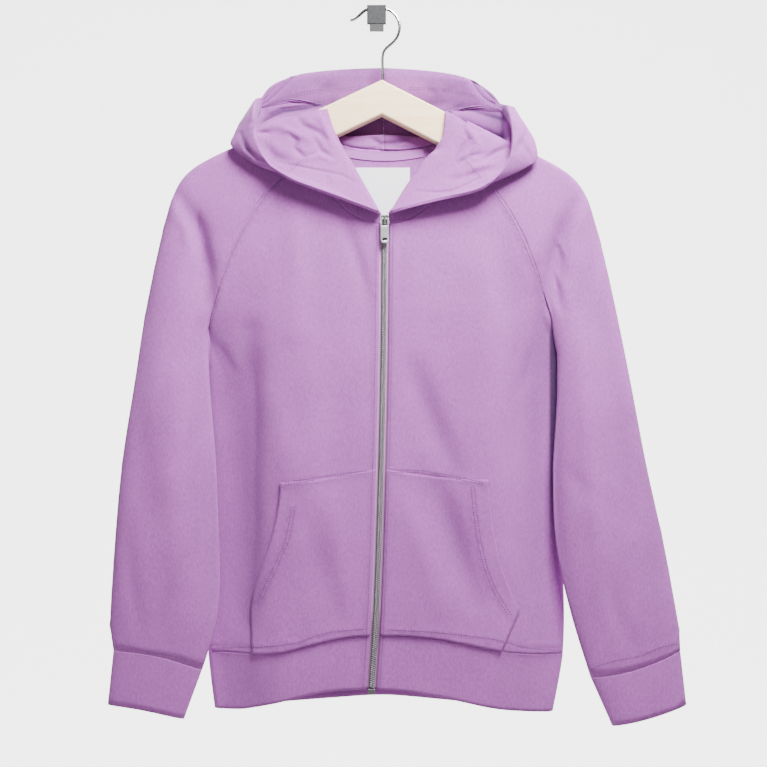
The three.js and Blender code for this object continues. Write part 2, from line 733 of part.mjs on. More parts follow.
const SLEEVE_COLS = [
  -1, -0.93, -0.84, -0.74, -0.64, -0.54, -0.43, -0.32, -0.22, -0.13, -0.06, 0,
  0.06, 0.13, 0.22, 0.34, 0.48, 0.62, 0.76, 0.88, 0.95, 1,
];
const sleeves = {};
for (const [name, side] of Object.entries(SIDES)) {
  side.armCurves = {};
  for (const key of ARM_KEYS) side.armCurves[key] = curve(side.arm, key, "r");
  const rows = [...steps(ROWS_ABOVE).map((t) => t * 6), ...steps(ARM_ROWS).slice(1).map((t) => 6 + t)];
  sleeves[name] = grid(
    rows,
    SLEEVE_COLS,
    (r, t) => (r <= 6 ? sleevePoint(side, r, t) : armPoint(side, r - 6, t)),
    side.dir,
  );
}

// A sleeve's front and back layers, which meet along its outer fold
function halves(g) {
  const fold = SLEEVE_COLS.indexOf(0);
  const crop = (from, to) => ({
    pts: g.pts.map((r) => r.slice(from, to).map((p) => p.clone())),
    nrm: g.nrm.map((r) => r.slice(from, to)),
  });
  const front = crop(0, fold + 1);
  const rear = crop(fold);
  drawIn(front, ["end"]);
  drawIn(rear, ["start"]);
  return { front, back: rear };
}

// Cuffs: closed rings that go on from the sleeves' ends
const cuffs = {};
for (const [name, side] of Object.entries(SIDES)) {
  const last = side.arm[side.arm.length - 1];
  cuffs[name] = grid([0, 0.08, 0.5, 1], SLEEVE_COLS.slice(0, -1), (r, t) => {
    const at = {};
    for (const key of ARM_KEYS) at[key] = lerp(last[key], side.cuff[key], r);
    return ringPoint(at, t, lerp(side.armDip, side.cuff.dip, r));
  }, side.dir);
}

// Waistband: one band from zip to zip, from the same points as the panels' lower edges
const bandCols = [
  ...FRONT_COLS.map((s) => ["left", "front", s]),
  ...BACK_COLS.slice(0, -1).reverse().map((s) => ["left", "back", s]),
  ...BACK_COLS.slice(1).map((s) => ["right", "back", s]),
  ...FRONT_COLS.slice(0, -1).reverse().map((s) => ["right", "front", s]),
];
function bandPoint(r, [name, face, s]) {
  const side = SIDES[name];
  const top = face === "front" ? frontPoint(side, 7, s) : backPoint(side, 7, s);
  const low = face === "front"
    ? lerp(HEM_CENTRE, side.hemSide, smooth(side.hemFrom, side.hemTo, s))
    : lerp(BACK_HEM, side.hemSide, s);
  const z = lerp(top.z, low, r);
  const inner = face === "front" ? centreX(z) + ZIP_HALF * side.dir : lerp(12, 8, r);
  const topInner = face === "front" ? centreX(top.z) + ZIP_HALF * side.dir : 12;
  const x = lerp(inner, side.bodyX(z), (top.x - topInner) / (side.bodyX(top.z) - topInner));
  const y = s === 1 ? sideDepth(z) : face === "front" ? frontY(side, x, z) : backY(side, x, z);
  const tuck = 2.5 * smooth(0, 0.12, r) * (s === 1 ? 0 : 1) * Math.min(1, (1 - s) * 12);
  return new THREE.Vector3(x, y + (face === "front" ? tuck : -tuck) * 0.5, z);
}
const band = grid([0, 0.12, 0.5, 1], bandCols, bandPoint, -1);

// Seams share their normals before any wall is made
for (const [name, side] of Object.entries(SIDES)) {
  const edge = side.dir < 0 ? 0 : -1;
  const open = ROWS_ABOVE - 1;
  sew(column(fronts[name], -1, 0, open), column(sleeves[name], 0, 0, open), GROOVE);
  sew(column(back, edge, 0, open), column(sleeves[name], -1, 0, open), GROOVE);
  sew(column(fronts[name], -1, ROWS_ABOVE), column(back, edge, ROWS_ABOVE));
  sew(column(sleeves[name], 0, ROWS_ABOVE), column(sleeves[name], -1, ROWS_ABOVE));
  sew(row(sleeves[name], -1, 0, SLEEVE_COLS.length - 2), row(cuffs[name], 0));
}

const frontEnd = FRONT_COLS.length - 1;
const backEnd = frontEnd + back.pts[0].length - 1;
sew(row(fronts.left, -1), row(band, 0, 0, frontEnd));
sew(row(back, -1), row(band, 0, frontEnd, backEnd));
sew(row(fronts.right, -1).reverse(), row(band, 0, backEnd));


// Hood halves. Their columns follow the neckline's own points, from the zip to the back.
const neckCols = [
  ...FRONT_COLS.map((s) => ({ u: 5 * s, face: "front", s })),
  ...SLEEVE_COLS.slice(1).map((t) => ({ u: t < 0 ? 7 + 2 * t : 7 + 1.5 * t, face: "sleeve", s: t })),
  ...BACK_COLS.slice(0, -1).reverse().map((s) => ({ u: 12 - 3.5 * s, face: "back", s })),
];
function neckPoint(side, { face, s }) {
  if (face === "front") return frontPoint(side, 0, s);
  return face === "back" ? backPoint(side, 0, s) : sleevePoint(side, 0, s);
}

const hoods = {};
for (const [name, side] of Object.entries(SIDES)) {
  const axes = HOOD_SPOTS.map(([spot]) =>
    [0, 1, 2].map((axis) => curve(HOOD[name].map((row) => ({ u: row.u, v: row[spot][axis] })), "v", "u")));
  const across = neckCols.map((col) => {
    const neck = neckPoint(side, col).toArray();
    return [0, 1, 2].map((axis) => {
      const rows = HOOD_SPOTS.map(([, v], i) => ({ v, value: axes[i][axis](col.u) }));
      return curve([{ v: 0, value: neck[axis] }, ...rows], "value", "v");
    });
  });
  const at = (v, j) => new THREE.Vector3(...across[j].map((f) => f(v)));
  hoods[name] = grid(HOOD_ROWS, neckCols.map((_, j) => j), at, -side.dir);
  const h = hoods[name];
  const f = FRONT_COLS.length - 1;
  const b = f + SLEEVE_COLS.length - 1;
  sew(row(h, 0, 0, f), row(fronts[name], 0), GROOVE);
  sew(row(h, 0, f, b), row(sleeves[name], 0), GROOVE);
  const middle = BACK_COLS.length - 1;
  const half = row(back, 0, side.dir < 0 ? 0 : middle, side.dir < 0 ? middle : 2 * middle);
  sew(row(h, 0, b), side.dir < 0 ? half : half.reverse(), GROOVE);
}
sew(column(hoods.left, -1), column(hoods.right, -1));

for (const [name, side] of Object.entries(SIDES)) {
  drawIn(fronts[name], ["top", "end", "bottom"]);
  drawIn(sleeves[name], ["top", "start", "end", "bottom"]);
  drawIn(cuffs[name], ["top"]);
  drawIn(hoods[name], ["top", "end"]);
  piece(`front_${name}`, wall(fronts[name], CLOTH), "cloth");
  for (const [face, half] of Object.entries(halves(sleeves[name]))) {
    piece(`sleeve_${name}_${face}`, wall(half, CLOTH), "cloth");
  }
  piece(`cuff_${name}`, wall(cuffs[name], HEM_CLOTH, true), "cloth");
  piece(`hood_${name}`, wall(hoods[name], (i) => (HOOD_ROWS[i] > HEM_FROM ? HEM_CLOTH : CLOTH)), "cloth");
}
drawIn(back, ["top", "start", "end", "bottom"]);
drawIn(band, ["top"]);
piece("back", wall(back, CLOTH), "cloth");
piece("waistband", wall(band, HEM_CLOTH), "cloth");

// Wooden hanger: two straight arms from an apex, cut square at the ends
const APEX = { x: 6, z: -71.5 };
const ARM_HEIGHT = 36.5;
const ARMS = [
  { dir: -1, slope: 25.3, length: 233 },
  { dir: 1, slope: 26.9, length: 234 },
];
const WOOD_EDGE = 2;
function hangerWood() {
  const shape = new THREE.Shape();
  const ends = ARMS.map(({ dir, slope, length }) => {
    const a = THREE.MathUtils.degToRad(slope);
    const along = [dir * Math.cos(a), -Math.sin(a)];
    const down = [-dir * Math.sin(a) * 1, -Math.cos(a)];
    const corner = (l, h) => [APEX.x + along[0] * l + down[0] * h, APEX.z + along[1] * l + down[1] * h];
    return [
      corner(length - 9, 0), corner(length, 9),
      corner(length, ARM_HEIGHT - 6), corner(length - 6, ARM_HEIGHT),
    ];
  });
  const mean = THREE.MathUtils.degToRad((ARMS[0].slope + ARMS[1].slope) / 2);
  shape.moveTo(APEX.x, APEX.z);
  for (const p of ends[0]) shape.lineTo(...p);
  shape.lineTo(APEX.x, APEX.z - ARM_HEIGHT / Math.cos(mean));
  for (const p of ends[1].reverse()) shape.lineTo(...p);
  shape.closePath();
  const geometry = new THREE.ExtrudeGeometry(shape, {
    depth: WOOD_THICK - 2 * WOOD_EDGE,
    bevelEnabled: true,
    bevelThickness: WOOD_EDGE,
    bevelSize: WOOD_EDGE,
    bevelOffset: -WOOD_EDGE,
    bevelSegments: 2,
  });
  geometry.translate(0, 0, -(WOOD_THICK - 2 * WOOD_EDGE) / 2);
  geometry.rotateX(Math.PI / 2);
  geometry.translate(0, WOOD_Y, 0);
  return geometry;
}
piece("hanger_wood", hangerWood(), "wood");

// Wire hook: a straight stem out of the apex and a round hook over the wall hook's stem
const WIRE = 3.7;
const HOOK_PATH = [
  [7, -70.9], [7, -58], [7, -43], [8.5, -36.5], [13, -31.5], [19.5, -26], [24.5, -19],
  [27, -9], [25, 0.5], [19.5, 8.5], [13.2, 12.2], [7.5, 13.1], [2.5, 13.1], [-2.5, 13.1],
  [-7.5, 13.1], [-12.5, 11.8], [-18.5, 7.2], [-22.5, 3.2], [-27, 0], [-31, -0.6],
];
function hookWire() {
  const path = new THREE.CatmullRomCurve3(HOOK_PATH.map(([x, z]) => new THREE.Vector3(x, WOOD_Y, z)));
  const ring = new THREE.Shape();
  ring.absarc(0, 0, WIRE / 2, 0, 2 * Math.PI, false);
  return new THREE.ExtrudeGeometry(ring, {
    steps: 46, curveSegments: 5, bevelEnabled: false, extrudePath: path,
  });
}
piece("hanger_hook", hookWire(), "wire");

// Wall hook: a square plate in front, on a square stem from the wall
const PLATE = 22;
const STEM = 16.6;
const REACH = 45;
const PLATE_THICK = 4;
const STEM_RISE = 2.6; // the stem sits this much above the plate's middle
const BEVEL = 0.6; // on the edges of the plate's front
function wallHook() {
  const back = -(REACH - PLATE_THICK);
  const loops = [
    { size: STEM, y: 0, rise: STEM_RISE },
    { size: STEM, y: back, rise: STEM_RISE },
    { size: PLATE - BEVEL, y: back, rise: 0 },
    { size: PLATE, y: back - BEVEL, rise: 0 },
    { size: PLATE, y: -REACH + BEVEL, rise: 0 },
    { size: PLATE - 2 * BEVEL, y: -REACH, rise: 0 },
  ];
  const corners = [[-0.5, -0.5], [0.5, -0.5], [0.5, 0.5], [-0.5, 0.5]];
  const square = ({ size, y, rise }) => corners.flatMap(([x, z]) => [x * size, y, z * size + rise]);
  const flat = loops.flatMap(square);
  const index = [];
  for (let i = 0; i < loops.length - 1; i += 1) {
    for (let j = 0; j < 4; j += 1) {
      const k = (j + 1) % 4;
      index.push(4 * i + j, 4 * i + k, 4 * i + 4 + k, 4 * i + j, 4 * i + 4 + k, 4 * i + 4 + j);
    }
  }
  const end = 4 * (loops.length - 1);
  index.push(0, 2, 1, 0, 3, 2, end, end + 1, end + 2, end, end + 2, end + 3);
  return solid(flat, index);
}
piece("wall_hook", wallHook(), "hook");

// Pockets: each is its front's own points between the zip and the opening, moved out
for (const [name, front] of Object.entries(fronts)) {
  const top = ROWS.findIndex((r) => Math.abs(r - 6 - POCKET_TOP) < 1e-6);
  const open = FRONT_COLS.indexOf(POCKET_COL);
  const crop = (rows) => rows.slice(top).map((r) => r.slice(0, open + 1).map((p) => p.clone()));
  const pocket = { pts: crop(front.pts), nrm: crop(front.nrm) };
  pocket.pts.forEach((r, i) => r.forEach((p, j) => {
    p.addScaledVector(pocket.nrm[i][j], POCKET_CLOTH + LAY_GAP);
    if (j === 0) p.x += POCKET_INSET * SIDES[name].dir;
  }));
  pocket.pts[pocket.pts.length - 1].forEach((p) => {
    p.z += POCKET_ABOVE;
  });
  piece(`pocket_${name}`, wall(pocket, POCKET_CLOTH), "cloth");
}

// Neck tape and label, on the inside of the back
function onBack(x, z, inward) {
  const side = x < 9 ? SIDES.left : SIDES.right;
  return new THREE.Vector3(x, backY(side, x, z) - inward, z);
}
const NECK_TAPE = { x: 46, height: 9, thick: 0.9 };
const LABEL = { x0: -28, x1: 39, top: -171, bottom: -236, thick: 0.8 };
const tape = grid([0, 1], steps(8), (r, c) => {
  const x = lerp(9 - NECK_TAPE.x, 9 + NECK_TAPE.x, c);
  const bow = 5 * (2 * c - 1) ** 2;
  return onBack(x, -154 + bow - NECK_TAPE.height * r, CLOTH + LAY_GAP + NECK_TAPE.thick);
}, 1);
piece("neck_tape", wall(tape, NECK_TAPE.thick), "tape");
const label = grid(steps(5), steps(6), (r, c) =>
  onBack(lerp(LABEL.x0, LABEL.x1, c), lerp(LABEL.top, LABEL.bottom, r), CLOTH + LAY_GAP + LABEL.thick), 1);
piece("neck_label", wall(label, LABEL.thick), "label");

// Zip: two tapes behind the fronts, the closed chain between them, and a slider at the top
const TAPE = { inner: 0.3, outer: 14, thick: 0.8, top: -243, bottom: -776 };
const CHAIN = { half: 2.8, thick: 2.4, gap: 0.2 };
const BAND_STEP = 3; // how much deeper the tapes lie behind the thicker waistband
const SLIDER = { z: -236, wide: 9, tall: 11, deep: 6.4 };
function zipY(z) {
  const left = frontY(SIDES.left, centreX(z) - ZIP_HALF, z);
  const right = frontY(SIDES.right, centreX(z) + ZIP_HALF, z);
  return (left + right) / 2;
}
const zipRows = steps(18).map((t) => lerp(TAPE.top, TAPE.bottom, t));
for (const side of Object.values(SIDES)) {
  const strip = grid(zipRows, [TAPE.inner, 6, TAPE.outer], (z, off) => {
    const x = centreX(z) + off * side.dir;
    const flat = off < ZIP_HALF ? zipY(z) : Math.max(zipY(z), frontY(side, x, z));
    const deeper = BAND_STEP * smooth(WAIST_CENTRE + 22, WAIST_CENTRE + 4, z);
    return new THREE.Vector3(x, flat + CLOTH + 2 * LAY_GAP + deeper, z);
  }, side.dir);
  piece(`zip_tape_${side.dir < 0 ? "left" : "right"}`, wall(strip, TAPE.thick), "tape");
}
const chainRows = [SLIDER.z - SLIDER.tall / 2 - LAY_GAP, ...zipRows.slice(1)];
const chain = grid(chainRows, [-CHAIN.half, 0, CHAIN.half], (z, off) =>
  new THREE.Vector3(centreX(z) + off, zipY(z) + CLOTH - CHAIN.thick + CHAIN.gap, z), 1);
piece("zip_chain", wall(chain, CHAIN.thick), "metal");

// A box with its long edges cut off, for the slider and the bottom box
function blunt(wide, deep, tall, cut) {
  const shape = new THREE.Shape();
  const w = wide / 2;
  const d = tall / 2;
  shape.moveTo(-w + cut, -d);
  shape.lineTo(w - cut, -d);
  shape.lineTo(w, -d + cut);
  shape.lineTo(w, d - cut);
  shape.lineTo(w - cut, d);
  shape.lineTo(-w + cut, d);
  shape.lineTo(-w, d - cut);
  shape.lineTo(-w, -d + cut);
  shape.closePath();
  const geometry = new THREE.ExtrudeGeometry(shape, { depth: deep, bevelEnabled: false });
  geometry.translate(0, 0, -deep / 2);
  geometry.rotateX(Math.PI / 2);
  return geometry;
}
const sliderY = zipY(SLIDER.z) - 1.5;
piece("zip_slider", blunt(SLIDER.wide, SLIDER.deep, SLIDER.tall, 1.6), "metal")
  .position.set(centreX(SLIDER.z), sliderY, SLIDER.z);

// Pull tab: a flat plate with a window for the slider's loop and a slot at its end
const PULL = { wide: 9.6, tall: 29, thick: 2, rise: 1.5, gap: 0.5 };
function pullPlate() {
  const shape = new THREE.Shape();
  const w = PULL.wide / 2;
  const t = PULL.tall;
  shape.moveTo(-w + 1.4, 0);
  shape.lineTo(w - 1.4, 0);
  shape.lineTo(w, -1.6);
  shape.lineTo(w, -t + 3);
  shape.lineTo(w - 2.2, -t);
  shape.lineTo(-w + 2.2, -t);
  shape.lineTo(-w, -t + 3);
  shape.lineTo(-w, -1.6);
  shape.closePath();
  const window = (x, top, bottom) => {
    const hole = new THREE.Path();
    hole.moveTo(-x, top);
    hole.lineTo(-x, bottom);
    hole.lineTo(x, bottom);
    hole.lineTo(x, top);
    hole.closePath();
    shape.holes.push(hole);
  };
  window(3, -1.6, -9);
  window(2.6, -t + 6.2, -t + 2.8);
  const geometry = new THREE.ExtrudeGeometry(shape, { depth: PULL.thick, bevelEnabled: false });
  geometry.rotateX(Math.PI / 2);
  return geometry;
}
const pullY = sliderY - SLIDER.deep / 2 - PULL.gap;
piece("zip_pull", pullPlate(), "metal").position.set(centreX(SLIDER.z), pullY, SLIDER.z + PULL.rise);

// Loop on the slider's front, over the pull tab's top bar and through its window
const LOOP = { wide: 2.4, top: 4.8, bottom: -5, leg: 2, out: 3.1, thick: 1.5, foot: 0.2 };
function sliderLoop() {
  const shape = new THREE.Shape();
  const far = LOOP.out + LOOP.thick;
  shape.moveTo(LOOP.foot, LOOP.top);
  shape.lineTo(far - 1, LOOP.top);
  shape.lineTo(far, LOOP.top - 1);
  shape.lineTo(far, LOOP.bottom + 1);
  shape.lineTo(far - 1, LOOP.bottom);
  shape.lineTo(LOOP.foot, LOOP.bottom);
  shape.lineTo(LOOP.foot, LOOP.bottom + LOOP.leg);
  shape.lineTo(LOOP.out, LOOP.bottom + LOOP.leg);
  shape.lineTo(LOOP.out, LOOP.top - LOOP.leg);
  shape.lineTo(LOOP.foot, LOOP.top - LOOP.leg);
  shape.closePath();
  const geometry = new THREE.ExtrudeGeometry(shape, { depth: LOOP.wide, bevelEnabled: false });
  geometry.translate(0, 0, -LOOP.wide / 2);
  // The profile is drawn with x forward and y up
  geometry.applyMatrix4(new THREE.Matrix4().makeBasis(
    new THREE.Vector3(0, -1, 0), new THREE.Vector3(0, 0, 1), new THREE.Vector3(-1, 0, 0)));
  return geometry;
}
piece("zip_loop", sliderLoop(), "metal")
  .position.set(centreX(SLIDER.z), sliderY - SLIDER.deep / 2, SLIDER.z);

const BOX = { wide: 8.4, deep: 5, tall: 6 };
const HEM_X = centreX(TAPE.bottom);
piece("zip_box", blunt(BOX.wide, BOX.deep, BOX.tall, 0.8), "metal")
  .position.set(HEM_X, zipY(TAPE.bottom) + CLOTH - BOX.deep / 2, TAPE.bottom - LAY_GAP - BOX.tall / 2);

export default hoodie;
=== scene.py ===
import math

import bmesh
import bpy
import numpy as np
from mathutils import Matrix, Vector, kdtree
from mathutils.bvhtree import BVHTree


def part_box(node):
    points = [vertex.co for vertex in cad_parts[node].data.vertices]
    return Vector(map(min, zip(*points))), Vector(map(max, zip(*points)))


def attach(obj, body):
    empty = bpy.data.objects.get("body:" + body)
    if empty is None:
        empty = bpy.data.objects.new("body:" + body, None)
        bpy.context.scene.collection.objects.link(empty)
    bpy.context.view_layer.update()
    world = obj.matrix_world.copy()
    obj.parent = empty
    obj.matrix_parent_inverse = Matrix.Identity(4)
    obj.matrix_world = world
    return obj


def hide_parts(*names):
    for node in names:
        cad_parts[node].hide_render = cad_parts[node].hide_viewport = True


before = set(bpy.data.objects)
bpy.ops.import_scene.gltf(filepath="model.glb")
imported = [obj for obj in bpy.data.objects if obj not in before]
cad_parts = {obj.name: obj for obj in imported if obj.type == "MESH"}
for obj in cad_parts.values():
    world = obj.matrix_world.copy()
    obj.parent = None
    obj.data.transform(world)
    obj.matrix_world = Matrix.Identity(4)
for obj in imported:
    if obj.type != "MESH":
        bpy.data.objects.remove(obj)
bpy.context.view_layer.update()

MM = 0.001
CHEST_Y = -45  # plane of the chest, where lines seen from the camera are measured
CAMERA = (8.05, -1295, -424.7)
VIEW_WIDE = 882  # width of the picture at the chest plane
SENSOR = 36
MIDDLE = 9  # x of the garment's centre at the neck

# The stage and its lights, in metres
FLOOR_Z = -2.2
BACKDROP_Y = 2.6
STAGE_WIDE = 12
STAGE_GREY = (0.86, 0.86, 0.85)
BACKDROP_GLOW = 4.2
WORLD_GLOW = 0.10
LIGHTS = [
    {"name": "key", "at": (0.36, -0.70, 0.66), "size": 0.55, "power": 72, "aim": (0.01, 0, -0.36)},
    {"name": "fill", "at": (-0.7, -2.0, 0.2), "size": 1.2, "power": 5, "aim": (0.01, 0, -0.42)},
    {"name": "back", "at": (0.3, 1.6, 1.2), "size": 1.6, "power": 10, "aim": (0.01, 0, -0.42)},
]


# Camera and studio
def make_camera():
    data = bpy.data.cameras.new("camera")
    data.sensor_width = SENSOR
    data.lens = SENSOR * (CHEST_Y - CAMERA[1]) / VIEW_WIDE
    data.clip_start = 0.05
    data.clip_end = 20
    camera = bpy.data.objects.new("camera", data)
    camera.location = Vector(CAMERA) * MM
    camera.rotation_euler = (math.pi / 2, 0, 0)
    bpy.context.collection.objects.link(camera)
    bpy.context.scene.camera = camera


def make_light(name, at, size, power, aim):
    data = bpy.data.lights.new(name, "AREA")
    data.shape = "SQUARE"
    data.size = size
    data.energy = power
    light = bpy.data.objects.new(name, data)
    light.location = at
    light.rotation_mode = "QUATERNION"
    light.rotation_quaternion = (Vector(at) - Vector(aim)).to_track_quat("Z", "Y")
    bpy.context.collection.objects.link(light)


def make_stage():
    paint = flat_paint("stage_paint", STAGE_GREY)
    glow = flat_paint("backdrop_paint", STAGE_GREY, BACKDROP_GLOW)
    for name, at, turn, look in (
        ("floor", (0, 0, FLOOR_Z), 0, paint), ("backdrop", (0, BACKDROP_Y, 0), math.pi / 2, glow),
    ):
        bpy.ops.mesh.primitive_plane_add(size=STAGE_WIDE, location=at, rotation=(turn, 0, 0))
        plane = bpy.context.object
        plane.name = name
        plane.data.materials.append(look)
    world = bpy.data.worlds.new("studio")
    world.use_nodes = True
    world.node_tree.nodes["Background"].inputs["Color"].default_value = (1, 1, 1, 1)
    world.node_tree.nodes["Background"].inputs["Strength"].default_value = WORLD_GLOW
    bpy.context.scene.world = world
    for light in LIGHTS:
        make_light(**light)


# Materials
def new_material(name):
    material = bpy.data.materials.new(name)
    material.use_nodes = True
    nodes = material.node_tree.nodes
    return material, nodes, material.node_tree.links, nodes["Principled BSDF"]


def noise(nodes, links, coord, scale, detail=2.0, stretch=None):
    """A noise texture of so many grains a metre, longer along the axes that stretch shrinks."""
    if stretch:
        mapping = nodes.new("ShaderNodeMapping")
        mapping.inputs["Scale"].default_value = stretch
        links.new(coord, mapping.inputs["Vector"])
        coord = mapping.outputs["Vector"]
    texture = nodes.new("ShaderNodeTexNoise")
    texture.inputs["Scale"].default_value = scale
    texture.inputs["Detail"].default_value = detail
    links.new(coord, texture.inputs["Vector"])
    return texture.outputs["Fac"]


def ramp(nodes, links, source, stops):
    node = nodes.new("ShaderNodeValToRGB")
    elements = node.color_ramp.elements
    while len(elements) < len(stops):
        elements.new(0.5)
    for element, (place, color) in zip(elements, stops):
        element.position = place
        element.color = (*color, 1)
    links.new(source, node.inputs["Fac"])
    return node.outputs["Color"]


def mix(nodes, links, blend, amount, a, b):
    node = nodes.new("ShaderNodeMix")
    node.data_type = "RGBA"
    node.blend_type = blend
    if isinstance(amount, float):
        node.inputs["Factor"].default_value = amount
    else:
        links.new(amount, node.inputs["Factor"])
    links.new(a, node.inputs["A"])
    links.new(b, node.inputs["B"])
    return node.outputs["Result"]


def bump(nodes, links, height, depth, strength, under=None):
    node = nodes.new("ShaderNodeBump")
    node.inputs["Distance"].default_value = depth
    node.inputs["Strength"].default_value = strength
    links.new(height, node.inputs["Height"])
    if under:
        links.new(under, node.inputs["Normal"])
    return node.outputs["Normal"]


def flat_paint(name, color, glow=0.0):
    material, nodes, links, shader = new_material(name)
    coord = nodes.new("ShaderNodeTexCoord").outputs["Object"]
    low = tuple(c * 0.985 for c in color)
    tint = ramp(nodes, links, noise(nodes, links, coord, 3.0), [(0.3, low), (0.7, color)])
    links.new(tint, shader.inputs["Base Color"])
    shader.inputs["Roughness"].default_value = 0.9
    shader.inputs["Emission Color"].default_value = (*color, 1)
    shader.inputs["Emission Strength"].default_value = glow
    return material


LILAC = (0.41, 0.112, 0.44)


def shade(color, by):
    return tuple(c * by for c in color)


def knit(name, rib=False):
    """Brushed sweatshirt knit: fine heathered loops in upright wales, with soft fuzz, and painted shade:
    darker along the sewn lines and in the folds, hollows and shadowed parts that the cloth's moves give.
    """
    material, nodes, links, shader = new_material(name)
    coord = nodes.new("ShaderNodeTexCoord").outputs["Object"]
    broad = ramp(nodes, links, noise(nodes, links, coord, 22.0, 3.0),
                 [(0.3, shade(LILAC, 0.955)), (0.7, shade(LILAC, 1.03))])
    heather = ramp(nodes, links, noise(nodes, links, coord, 520.0, 4.0, (1, 1, 0.5)),
                   [(0.32, (0.66, 0.65, 0.68)), (0.68, (1.0, 1.0, 1.0))])
    tint = mix(nodes, links, "MULTIPLY", 0.62, broad, heather)
    near = nodes.new("ShaderNodeAttribute")
    near.attribute_name = "near_seam"
    # Painted shade: the cloth is a little darker along the sewn lines, where the seams sink in.
    dark = ramp(nodes, links, near.outputs["Fac"], [(0.0, (1, 1, 1)), (1.0, (0.90, 0.88, 0.91))])
    tint = mix(nodes, links, "MULTIPLY", 1.0, tint, dark)
    # Painted shade: the cloth is tinted darker and greyer in the folds and hollows its moves push in and in
    # its shadowed parts, by the value kept at each point.
    painted_shade = nodes.new("ShaderNodeAttribute")
    painted_shade.attribute_name = "painted_shade"
    painted_shade_tint = ramp(nodes, links, painted_shade.outputs["Fac"],
                [(0.0, (1, 1, 1)), (0.5, (0.66, 0.68, 0.68)), (1.0, (0.17, 0.22, 0.22))])
    tint = mix(nodes, links, "MULTIPLY", 1.0, tint, painted_shade_tint)
    links.new(tint, shader.inputs["Base Color"])
    loops = nodes.new("ShaderNodeTexWave")
    loops.inputs["Scale"].default_value = 210.0 if rib else 260.0
    loops.inputs["Distortion"].default_value = 1.6
    loops.inputs["Detail Scale"].default_value = 3.0
    links.new(coord, loops.inputs["Vector"])
    fuzz = noise(nodes, links, coord, 1500.0, 2.0)
    pucker = nodes.new("ShaderNodeMath")
    pucker.operation = "MULTIPLY"
    links.new(near.outputs["Fac"], pucker.inputs[0])
    links.new(noise(nodes, links, coord, 170.0, 1.0), pucker.inputs[1])
    relief = bump(nodes, links, pucker.outputs["Value"], 0.0011, 0.8)
    relief = bump(nodes, links, loops.outputs["Fac"], 0.00012, 0.35 if rib else 0.22, relief)
    relief = bump(nodes, links, fuzz, 0.00022, 0.45, relief)
    links.new(relief, shader.inputs["Normal"])
    shader.inputs["Roughness"].default_value = 0.92
    shader.inputs["Specular IOR Level"].default_value = 0.25
    shader.inputs["Sheen Weight"].default_value = 0.15
    shader.inputs["Sheen Roughness"].default_value = 0.55
    shader.inputs["Sheen Tint"].default_value = (0.95, 0.85, 1.0, 1)
    return material


def woven(name, color, scale=1200.0, rough=0.75):
    material, nodes, links, shader = new_material(name)
    coord = nodes.new("ShaderNodeTexCoord").outputs["Object"]
    threads = nodes.new("ShaderNodeTexWave")
    threads.bands_direction = "DIAGONAL"
    threads.inputs["Scale"].default_value = scale / 4
    threads.inputs["Distortion"].default_value = 1.2
    links.new(coord, threads.inputs["Vector"])
    grain = noise(nodes, links, coord, scale)
    tint = ramp(nodes, links, grain, [(0.3, shade(color, 0.93)), (0.7, color)])
    links.new(tint, shader.inputs["Base Color"])
    relief = bump(nodes, links, threads.outputs["Fac"], 0.00008, 0.3)
    links.new(bump(nodes, links, grain, 0.0001, 0.3, relief), shader.inputs["Normal"])
    shader.inputs["Roughness"].default_value = rough
    shader.inputs["Sheen Weight"].default_value = 0.1
    return material


def metal(name, color, rough, wear=0.12):
    material, nodes, links, shader = new_material(name)
    coord = nodes.new("ShaderNodeTexCoord").outputs["Object"]
    spots = noise(nodes, links, coord, 420.0, 4.0)
    links.new(ramp(nodes, links, spots, [(0.25, shade(color, 0.78)), (0.65, color)]),
              shader.inputs["Base Color"])
    soft = nodes.new("ShaderNodeMapRange")
    soft.inputs["To Min"].default_value = rough
    soft.inputs["To Max"].default_value = rough + wear
    links.new(noise(nodes, links, coord, 160.0), soft.inputs["Value"])
    links.new(soft.outputs["Result"], shader.inputs["Roughness"])
    shader.inputs["Metallic"].default_value = 1.0
    return material


def maple(name):
    """Pale maple: fine straight grain along the arms, small darker flecks, a satin varnish."""
    material, nodes, links, shader = new_material(name)
    coord = nodes.new("ShaderNodeTexCoord").outputs["Object"]
    grain = noise(nodes, links, coord, 42.0, 5.0, (0.30, 1, 2.6))
    flecks = noise(nodes, links, coord, 420.0, 2.0, (0.22, 1, 1.5))
    tint = ramp(nodes, links, grain, [(0.28, (0.98, 0.70, 0.40)), (0.72, (1.0, 0.84, 0.56))])
    marks = ramp(nodes, links, flecks, [(0.25, (0.86, 0.80, 0.74)), (0.45, (1, 1, 1))])
    links.new(mix(nodes, links, "MULTIPLY", 0.6, tint, marks), shader.inputs["Base Color"])
    links.new(bump(nodes, links, flecks, 0.00012, 0.25), shader.inputs["Normal"])
    shader.inputs["Roughness"].default_value = 0.48
    shader.inputs["Coat Weight"].default_value = 0.18
    shader.inputs["Coat Roughness"].default_value = 0.35
    return material


def speckled(name):
    """Dark grey paint with fine light and dark specks."""
    material, nodes, links, shader = new_material(name)
    coord = nodes.new("ShaderNodeTexCoord").outputs["Object"]
    specks = noise(nodes, links, coord, 620.0, 3.0)
    links.new(ramp(nodes, links, specks, [
        (0.30, (0.004, 0.0045, 0.0055)), (0.52, (0.010, 0.011, 0.013)), (0.76, (0.050, 0.054, 0.060))]),
        shader.inputs["Base Color"])
    links.new(bump(nodes, links, specks, 0.0002, 0.4), shader.inputs["Normal"])
    shader.inputs["Roughness"].default_value = 0.55
    shader.inputs["Metallic"].default_value = 0.2
    return material


